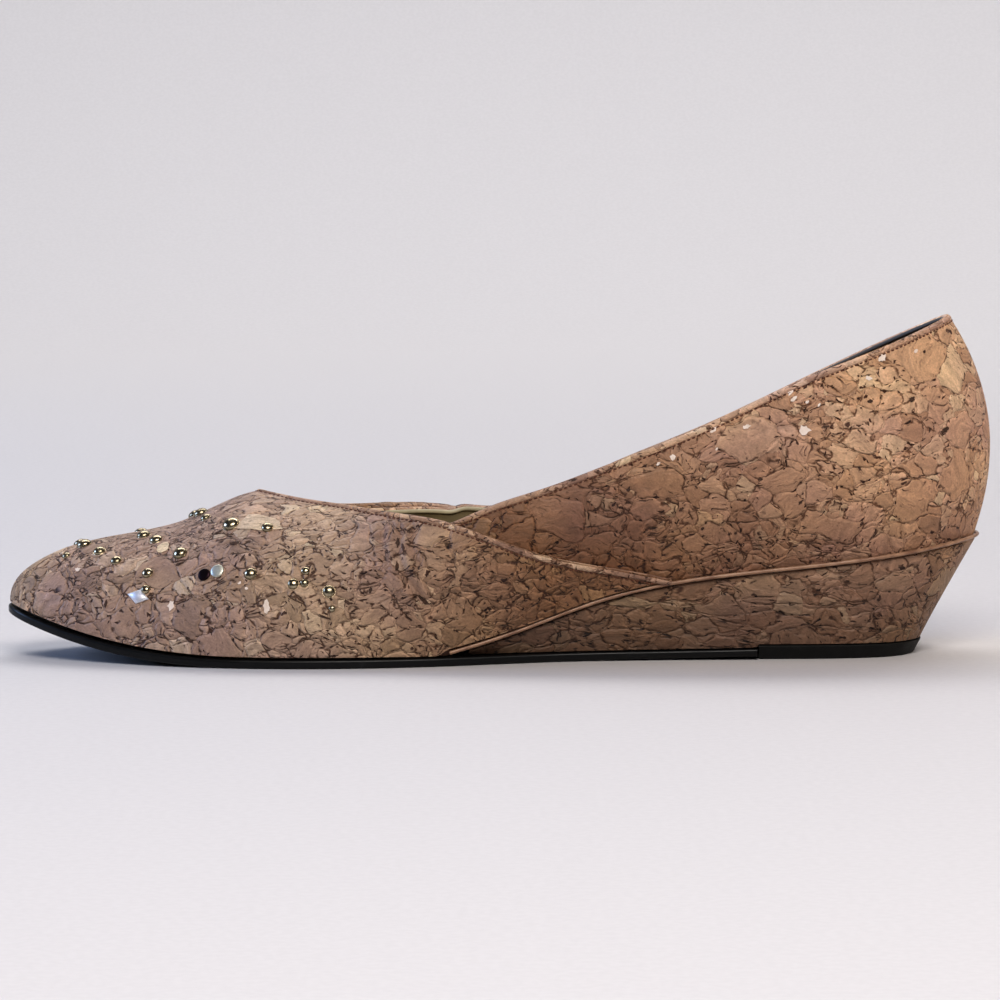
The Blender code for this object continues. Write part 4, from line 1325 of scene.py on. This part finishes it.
@dataclass
class Bottom:
    """The wedge, its piping, the outsole, the heel lift and the sock inside.

    The piping is rolled leather with a soft sheen, the outsole is black rubber with a polished edge, the lift
    is a duller rubber, and the sock is brushed leather. Each pair of rounds is for an upper and a lower edge.
    """

    wedge_start: float = 0.470
    waist_end: float = 0.60
    piping_start: float = 0.450
    piping_radius: float = 0.0005
    piping_offset: float = 0.00115
    wedge_edge: float = 0.0003
    lift_bevel: float = 0.0014
    breast_gap: float = 0.0004
    insole_inset: float = 0.0024
    insole_thick: float = 0.0018
    wedge_rounds: tuple[float, float] = (0.0004, 0.0002)
    sole_rounds: tuple[float, float] = (0.0007, 0.0006)
    lift_rounds: tuple[float, float] = (0.0003, 0.0007)
    sock_rounds: tuple[float, float] = (0.0006, 0.0002)
    columns: int = 260
    toe_columns: int = 40
    toe_end: float = 0.02
    piping_steps: int = 240
    piping_sides: int = 14
    piping_pitch: float = 0.9 * MM
    # The wedge's cork has painted shade that darkens it strongly towards the floor
    cork: CorkSheet = CorkSheet(
        "cork_sheet_wedge", (0.57, 0.33, 0.21), stretch=1.7, painted_shade_way=(0.10, 0.0, 1.0), painted_shade_mm=(-8.0, 75.0),
        painted_shade_tone="594c42",
    )
    piping: Leather = Leather("piping_leather", "84604a", "b08c70", mottle_mm=3.0, roughness=0.38, coat=0.2)
    sole_rubber: Rubber = Rubber("sole_edge_rubber", "060607", "2a2b2e", 0.34, 0.12)
    lift_rubber: Rubber = Rubber("lift_rubber", "111110", "2c2c2a", 0.55, 0.0)
    sock: Leather = Leather("sock_leather", "83735a", "918064", mottle_mm=14.0)

    def wedge_top(self, along: np.ndarray) -> np.ndarray:
        """Height of the wedge's upper face."""
        return LAST.feather(along) - LAST.fit_gap

    def lift_top(self, along: np.ndarray) -> np.ndarray:
        """Height of the lift's upper face."""
        return np.full_like(along, LAST.lift_thick)

    def sock_top(self, along: np.ndarray) -> np.ndarray:
        """Height of the sock's upper face."""
        return LAST.feather(along) + self.insole_thick

    def build_wedge(self) -> bpy.types.Object:
        """The cork-clad wedge."""
        places = np.linspace(LAST.place_at(self.wedge_start), LAST.end_place, self.columns)
        tops = {side: LAST.outline(places, side, LAST.wedge_ledge) for side in Side}
        feet = {side: LAST.wedge_foot(places, side, 0.0) for side in Side}
        grids = slab(tops, feet, self.wedge_top, LAST.wedge_bottom, *self.wedge_rounds)
        return from_grids("cork_wedge", grids)

    def outsole_edges(self, places: np.ndarray) -> dict[Side, np.ndarray]:
        """Plan of the outsole: proud of the vamp in front, drawn in to the wedge's foot behind."""
        alongs = spline(LAST.rib_places, LAST.rib_table[:, 0], places)
        share = smooth_step(LAST.flat_end, self.waist_end, alongs)[:, None]
        edges = {}
        for side in Side:
            front = LAST.outline(places, side, LAST.welt_margin)
            back = LAST.wedge_foot(places, side, self.wedge_edge)
            edges[side] = front + (back - front) * share
        return edges

    def build_outsole(self) -> bpy.types.Object:
        """The thin black outsole with its polished edge."""
        end = LAST.place_at(LAST.breast - self.breast_gap / LAST.length)
        early = np.linspace(0, self.toe_end, self.toe_columns)
        places = np.concatenate([early, np.linspace(self.toe_end, end, self.columns)[1:]])
        edges = self.outsole_edges(places)
        grids = slab(edges, edges, LAST.outsole_top, LAST.sole_bottom, *self.sole_rounds)
        return from_grids("sole_sheet", grids, SOLE_ANGLE)

    def build_lift(self) -> bpy.types.Object:
        """The rubber top piece under the heel."""
        places = np.linspace(LAST.place_at(LAST.breast), LAST.end_place, self.columns // 2)
        tops = {side: LAST.wedge_foot(places, side, 0.0) for side in Side}
        feet = {side: LAST.wedge_foot(places, side, -self.lift_bevel) for side in Side}
        grids = slab(tops, feet, self.lift_top, np.zeros_like, *self.lift_rounds)
        return from_grids("rubber_lift", grids, SOLE_ANGLE)

    def build_piping(self) -> bpy.types.Object:
        """The bead along the top of the wedge, round the heel."""
        places = np.linspace(LAST.place_at(self.piping_start), LAST.end_place, self.piping_steps)
        medial, lateral = (LAST.outline(places, side, self.piping_offset) for side in Side)
        plan = np.vstack([medial, lateral[-2::-1]])
        path = np.column_stack([plan, LAST.feather(LAST.along_at(plan[:, 0])) + self.piping_radius])
        hem = Hem.along(path, np.repeat([[0.0, 0.0, 1.0]], len(path), axis=0), False, self.piping_pitch)
        radius = self.piping_radius / MM
        turns = np.linspace(0, 2 * math.pi, self.piping_sides, endpoint=False)
        ring = [(radius * math.cos(turn), radius * math.sin(turn)) for turn in turns]
        return from_grids("piping_bead", hem.sweep(ring))

    def build_sock(self) -> bpy.types.Object:
        """The leather sock over the insole, with soft edges."""
        places = np.linspace(0, LAST.end_place, self.columns)
        edges = {side: LAST.outline(places, side, -self.insole_inset) for side in Side}
        grids = slab(edges, edges, self.sock_top, LAST.feather, *self.sock_rounds)
        return from_grids("sock_lining", grids, SOLE_ANGLE)

    def assemble(self) -> None:
        """Builds and dresses the pieces."""
        install(self.build_wedge(), self.cork, Slot.CORK, ["wedge"])
        install(self.build_piping(), self.piping, Slot.PIPING, ["wedge_piping"])
        install(self.build_outsole(), self.sole_rubber, Slot.OUTSOLE, ["outsole"])
        install(self.build_lift(), self.lift_rubber, Slot.LIFT, ["heel_lift"])
        install(self.build_sock(), self.sock, Slot.LINING, ["insole"])


# Plated caps: domes in worn brass, discs in satin nickel, dark ones in bronze, and stones in mirror foil
STUD_FINISHES = {
    StudKind.DOME: (Metal("brass_plate", "b0a48a", "6f6550", 0.17), Slot.BRASS),
    StudKind.DISC: (Metal("nickel_plate", "e2e2d6", "bcbcb0", 0.38), Slot.BRASS),
    StudKind.DARK: (Metal("dark_bronze", "2e2026", "1c1416", 0.3), Slot.DARK_BRASS),
    StudKind.STONE: (Metal("mirror_foil", "f6f6fb", "dcdce6", 0.42), Slot.STONE),
}


@dataclass
class Studding:
    """Domes, discs and stones set over the vamp, as pressed metal caps."""

    lateral_shift: float = -0.006
    lateral_scale: float = 0.96
    sink: float = 0.00008
    sides: int = 28
    crown: float = 0.002
    ahead: tuple[float, float, float] = (1.0, 0.0, -0.35)
    rim_profile: tuple[tuple[float, float], ...] = ((1.0, 0.0), (1.0, 0.05), (0.97, 0.08))
    dome_width: float = 0.93
    dome_base: float = 0.08
    dome_rise: float = 0.58
    dome_turn: float = 0.94
    dome_rows: int = 8
    disc_profile: tuple[tuple[float, float], ...] = (
        (1.0, 0.0), (1.0, 0.18), (0.96, 0.27), (0.88, 0.32), (0.5, 0.335), (0.2, 0.34),
    )
    stone_shape: tuple[float, float] = (1.55, 0.98)
    stone_rings: tuple[tuple[float, float], ...] = ((1, 0), (1, 0.2), (0.62, 0.42))

    def seats(self) -> list[tuple[str, Stud, Matrix]]:
        """Each stud's CAD node, row and placing matrix in units of its radius."""
        made = []
        for side in Side:
            for stud in STUDS:
                along, up = stud.along, stud.up
                if side > 0:
                    along, up = along + self.lateral_shift, up * self.lateral_scale
                place = np.array([LAST.place_at(along)])
                point = LAST.wall(place, np.array([up]), side, LAST.vamp_proud - self.sink)[0]
                out = LAST.normals(place, np.array([up]), side)[0]
                ahead = unit(np.cross(np.cross(out, self.ahead), out))
                seat = frame_matrix(point, ahead, out, (stud.diameter / 2,) * 3)
                made.append((f"stud_{len(made) + 1:02d}", stud, seat))
        return made

    def turned(self, profile: Sequence[tuple[float, float]]) -> tuple[np.ndarray, FaceList]:
        """Points and faces of a turned cap from its rim to its crown."""
        turns = np.linspace(0, 2 * math.pi, self.sides, endpoint=False)
        points = [(0.0, 0.0, profile[0][1])]
        for radius, height in profile:
            points += [(radius * math.cos(turn), radius * math.sin(turn), height) for turn in turns]
        points.append((0.0, 0.0, profile[-1][1] + self.crown))
        return np.array(points), ring_faces(self.sides, len(profile))

    def shape(self, kind: StudKind) -> tuple[np.ndarray, FaceList]:
        """The mesh of one kind of stud at radius one, with its base at height zero."""
        if kind is StudKind.DOME:
            turns = np.linspace(0.0, math.pi / 2 * self.dome_turn, self.dome_rows)
            radii = [self.dome_width * math.cos(turn) for turn in turns]
            heights = [self.dome_base + self.dome_rise * math.sin(turn) for turn in turns]
            return self.turned([*self.rim_profile, *zip(radii, heights)])
        if kind is StudKind.STONE:
            long, wide = self.stone_shape
            corners = np.array([(long, 0), (0, wide), (-long, 0), (0, -wide)])
            points = [(*corner * scale, height) for scale, height in self.stone_rings for corner in corners]
            faces = [[3, 2, 1, 0], [8, 9, 10, 11]]
            for low in (0, 4):
                faces += [[low + i, low + (i + 1) % 4, low + 4 + (i + 1) % 4, low + 4 + i] for i in range(4)]
            return np.array(points), faces
        return self.turned(self.disc_profile)

    def assemble(self) -> None:
        """Builds and dresses the studs, with those of one kind as one piece."""
        seats = self.seats()
        for kind, (finish, slot) in STUD_FINISHES.items():
            nodes, places = zip(*((node, place) for node, stud, place in seats if stud.kind is kind))
            points, faces = self.shape(kind)
            install(copies(f"{kind.value}_studs", points, faces, places), finish, slot, nodes)


@dataclass
class Flakes:
    """Flakes, chips or specks pressed into the cork, each a thin ragged scale wrapped on the wall.

    On the lateral side they are shifted by a share along and a height in mm.
    """

    name: str
    flecks: Sequence[Fleck]
    finish: Finish
    slot: Slot
    lift: float
    lateral_shift: tuple[float, float]
    ragged: tuple[float, float] = (0.6, 1.1)
    creased: bool = False
    thick: float = 0.00007
    corners: int = 16
    rings: tuple[float, ...] = (0.3, 0.55, 0.8, 1.0)
    look_ups: int = 60
    seed: int = 11

    def scale(self, fleck: Fleck, side: Side, random: np.random.Generator) -> tuple[np.ndarray, FaceList]:
        """Points and faces of one flake.

        Args:
            fleck: The flake's place and size.
            side: Which side of the shoe.
            random: Source of its ragged outline.

        Returns:
            Its points and faces.
        """
        place = LAST.place_at(fleck.along)
        ups = np.linspace(0, 1, self.look_ups)
        up = float(np.interp(fleck.height * MM, LAST.surface(place, ups, side)[:, 2], ups))
        step = 1e-3
        across = np.linalg.norm(LAST.surface(place + step, up, side) - LAST.surface(place, up, side)) / step
        rising = np.linalg.norm(LAST.surface(place, up - step, side) - LAST.surface(place, up, side)) / step
        count = self.corners
        turns = np.linspace(0, 2 * math.pi, count, endpoint=False)
        reach = 0.5 * random.uniform(*self.ragged, count)
        flat = np.column_stack([np.cos(turns) * fleck.long, np.sin(turns) * fleck.wide]) * reach[:, None] * MM
        slant = math.radians(fleck.slant)
        turned = flat @ np.array([[math.cos(slant), math.sin(slant)], [-math.sin(slant), math.cos(slant)]])
        shares = np.vstack([[[0, 0]], *(turned * ring for ring in self.rings)])
        places, heights = place + shares[:, 0] / across, np.clip(up + shares[:, 1] / rising, 0, 1)
        face, out = LAST.surface(places, heights, side), LAST.normals(places, heights, side)
        lift = self.lift - creasing(face)[:, None] * self.creased
        points = np.vstack([face + out * lift, face + out * (lift - self.thick)])
        faces, nexts = [], [(i, (i + 1) % count) for i in range(count)]
        for layer in (0, len(shares)):
            faces += [[layer, layer + 1 + i, layer + 1 + j] for i, j in nexts]
            for start in range(layer + 1, layer + len(shares) - count, count):
                faces += [[start + i, start + count + i, start + count + j, start + j] for i, j in nexts]
        low, high = len(shares) - count, 2 * len(shares) - count
        faces += [[low + i, high + i, high + j, low + j] for i, j in nexts]
        return points, faces

    def build(self) -> bpy.types.Object:
        """All the flakes of both sides as one piece."""
        random = np.random.default_rng(self.seed)
        points, faces, start = [], [], 0
        for side in Side:
            back, drop = self.lateral_shift if side > 0 else (0.0, 0.0)
            for fleck in self.flecks:
                along, height = fleck.along + back, fleck.height + drop
                moved = fleck._replace(along=along, height=height, slant=-side * fleck.slant)
                scale, corners = self.scale(moved, side, random)
                points.append(scale)
                faces += [[corner + start for corner in face] for face in corners]
                start += len(scale)
        return add_piece(self.name, np.vstack(points), faces)

    def assemble(self) -> None:
        """Builds and dresses the flakes."""
        install(self.build(), self.finish, self.slot)


QUARTER_LIFT = 0.1 * MM
BARK_LIFT = 0.13 * MM
VAMP_LIFT = LAST.vamp_proud + 0.18 * MM
QUARTER_SHIFT = (-0.013, -7.5)
VAMP_SHIFT = (-0.006, -1.5)

# Pearl scale is pale and glossy, straw is one plain chip without cracks, and bark is dark, rough and matt
PEARL = Leather("pearl_flake", "e4d2c3", "f6e7dc", grain_mm=0.4, mottle_mm=1.5, roughness=0.3, coat=0.5)
STRAW = CorkSheet(
    "cork_chip_straw", (0.11, 0.77, 0.43), chips_mm=(14.0, 30.0, 60.0), painted_shade_tone="ffffff", tones=STRAW_TONES,
)
BARK = Leather("cork_bark", "2c1b10", "553826", grain_mm=0.3, mottle_mm=0.8, roughness=0.7)
FLAKES = [
    Flakes("quarter_flecks", QUARTER_FLECKS, PEARL, Slot.STONE, QUARTER_LIFT, QUARTER_SHIFT),
    Flakes("vamp_flecks", VAMP_FLECKS, PEARL, Slot.STONE, VAMP_LIFT, VAMP_SHIFT),
    Flakes("straw_chips", STRAW_CHIPS, STRAW, Slot.CORK, VAMP_LIFT, VAMP_SHIFT, ragged=(0.82, 1.08)),
    Flakes("quarter_bark", QUARTER_BARK, BARK, Slot.CORK, BARK_LIFT, QUARTER_SHIFT),
    Flakes("vamp_bark", VAMP_BARK, BARK, Slot.CORK, VAMP_LIFT, VAMP_SHIFT, creased=True),
]


class Lamp(NamedTuple):
    """A soft area light: its place, what it points at, its size, power and colour."""

    name: str
    place: tuple[float, float, float]
    target: tuple[float, float, float]
    size: tuple[float, float]
    watts: float
    colour: str


LAMPS = [
    Lamp("top_softbox", (0.11, -0.92, 0.94), (0.03, 0, 0.03), (0.8, 0.5), 13.2, "fff9f4"),
    Lamp("right_warm_lamp", (1.45, 0.22, 0.42), (0, 0, 0.04), (0.3, 0.3), 4.3, "ffe4cc"),
    Lamp("left_cool_window", (-1.45, 0.12, 0.60), (0, 0, 0.04), (0.7, 0.6), 13.0, "b0ccff"),
    Lamp("back_softbox", (0.30, 1.6, 2.3), (0.30, 1.6, 0.0), (3.2, 1.2), 66.0, "fffdfc"),
]


@dataclass
class Studio:
    """The pale paper sweep, the soft lights and the camera."""

    reach: float = 4.0
    floor_ys: tuple[float, float] = (-2.6, -1.0)
    wall_y: float = 2.1
    wall_height: float = 3.2
    bend: float = 0.7
    bend_rows: int = 13
    columns: int = 5
    ambient: str = "e8eaee"
    ambient_strength: float = 0.06
    camera_place: tuple[float, float, float] = (0.0, -1.2, 0.145)
    camera_target: tuple[float, float, float] = (0.0, 0.0, 0.042)
    lens_mm: float = 165.98
    sensor_mm: float = 36.0
    shift: tuple[float, float] = (0.002, -0.010)
    roll_degrees: float = -0.4
    gamma: float = 0.88
    paper: Paper = Paper()

    def add_sweep(self) -> None:
        """The background paper: a floor that bends up into a wall."""
        turns = np.linspace(0, math.pi / 2, self.bend_rows)
        start = self.wall_y - self.bend
        bend = [(start + self.bend * math.sin(turn), self.bend * (1 - math.cos(turn))) for turn in turns]
        profile = [*((y, 0.0) for y in self.floor_ys), *bend, (self.wall_y, self.wall_height)]
        sides = np.linspace(-self.reach, self.reach, self.columns)
        grid = np.array([[(x, y, z) for y, z in profile] for x in sides])
        mesh = bpy.data.meshes.new("paper_sweep")
        mesh.from_pydata(grid.reshape(-1, 3).tolist(), [], grid_faces(*grid.shape[:2]).tolist())
        mesh.materials.append(self.paper.material())
        sweep = add_object("paper_sweep", mesh)

    def add_lamps(self) -> None:
        """The area lights."""
        for lamp in LAMPS:
            light = bpy.data.lights.new(lamp.name, "AREA")
            light.shape = "RECTANGLE"
            light.size, light.size_y = lamp.size
            light.energy = lamp.watts
            light.color = linear(lamp.colour)[:3]
            made = bpy.data.objects.new(lamp.name, light)
            made.location = lamp.place
            aim = Vector(lamp.target) - Vector(lamp.place)
            made.rotation_euler = aim.to_track_quat("-Z", "Y").to_euler()
            bpy.context.scene.collection.objects.link(made)

    def set_world(self) -> None:
        """A dim, even room behind the lights, and plain colour rendering."""
        world = bpy.data.worlds.new("room")
        world.use_nodes = True
        shade = world.node_tree.nodes["Background"]
        shade.inputs["Color"].default_value = linear(self.ambient)
        shade.inputs["Strength"].default_value = self.ambient_strength
        bpy.context.scene.world = world
        bpy.context.scene.view_settings.view_transform = "Standard"
        bpy.context.scene.view_settings.gamma = self.gamma

    def add_camera(self) -> None:
        """The camera at the photograph's height and distance."""
        data = bpy.data.cameras.new("camera")
        data.lens, data.sensor_width = self.lens_mm, self.sensor_mm
        data.shift_x, data.shift_y = self.shift
        camera = bpy.data.objects.new("camera", data)
        aim = Vector(self.camera_target) - Vector(self.camera_place)
        turn = aim.to_track_quat("-Z", "Y").to_matrix().to_4x4()
        roll = Matrix.Rotation(math.radians(self.roll_degrees), 4, "Z")
        camera.matrix_world = Matrix.Translation(self.camera_place) @ turn @ roll
        bpy.context.scene.collection.objects.link(camera)
        bpy.context.scene.camera = camera

    def assemble(self) -> None:
        """Builds the camera, the room, the sweep and the lights."""
        self.add_camera()
        self.set_world()
        self.add_sweep()
        self.add_lamps()


def main() -> None:
    """Builds the studio and every piece of the shoe."""
    logging.basicConfig(level=logging.INFO, format="%(message)s")
    Studio().assemble()
    wall, collar = Upper().assemble()
    sheet, edge = Vamp().assemble()
    seams = Seams()
    seams.assemble("collar_stitches", collar, 0.0, wall)
    seams.assemble("vamp_stitches", edge, LAST.vamp_proud, sheet)
    Bottom().assemble()
    Studding().assemble()
    for group in FLAKES:
        group.assemble()


if __name__ == "__main__":
    main()
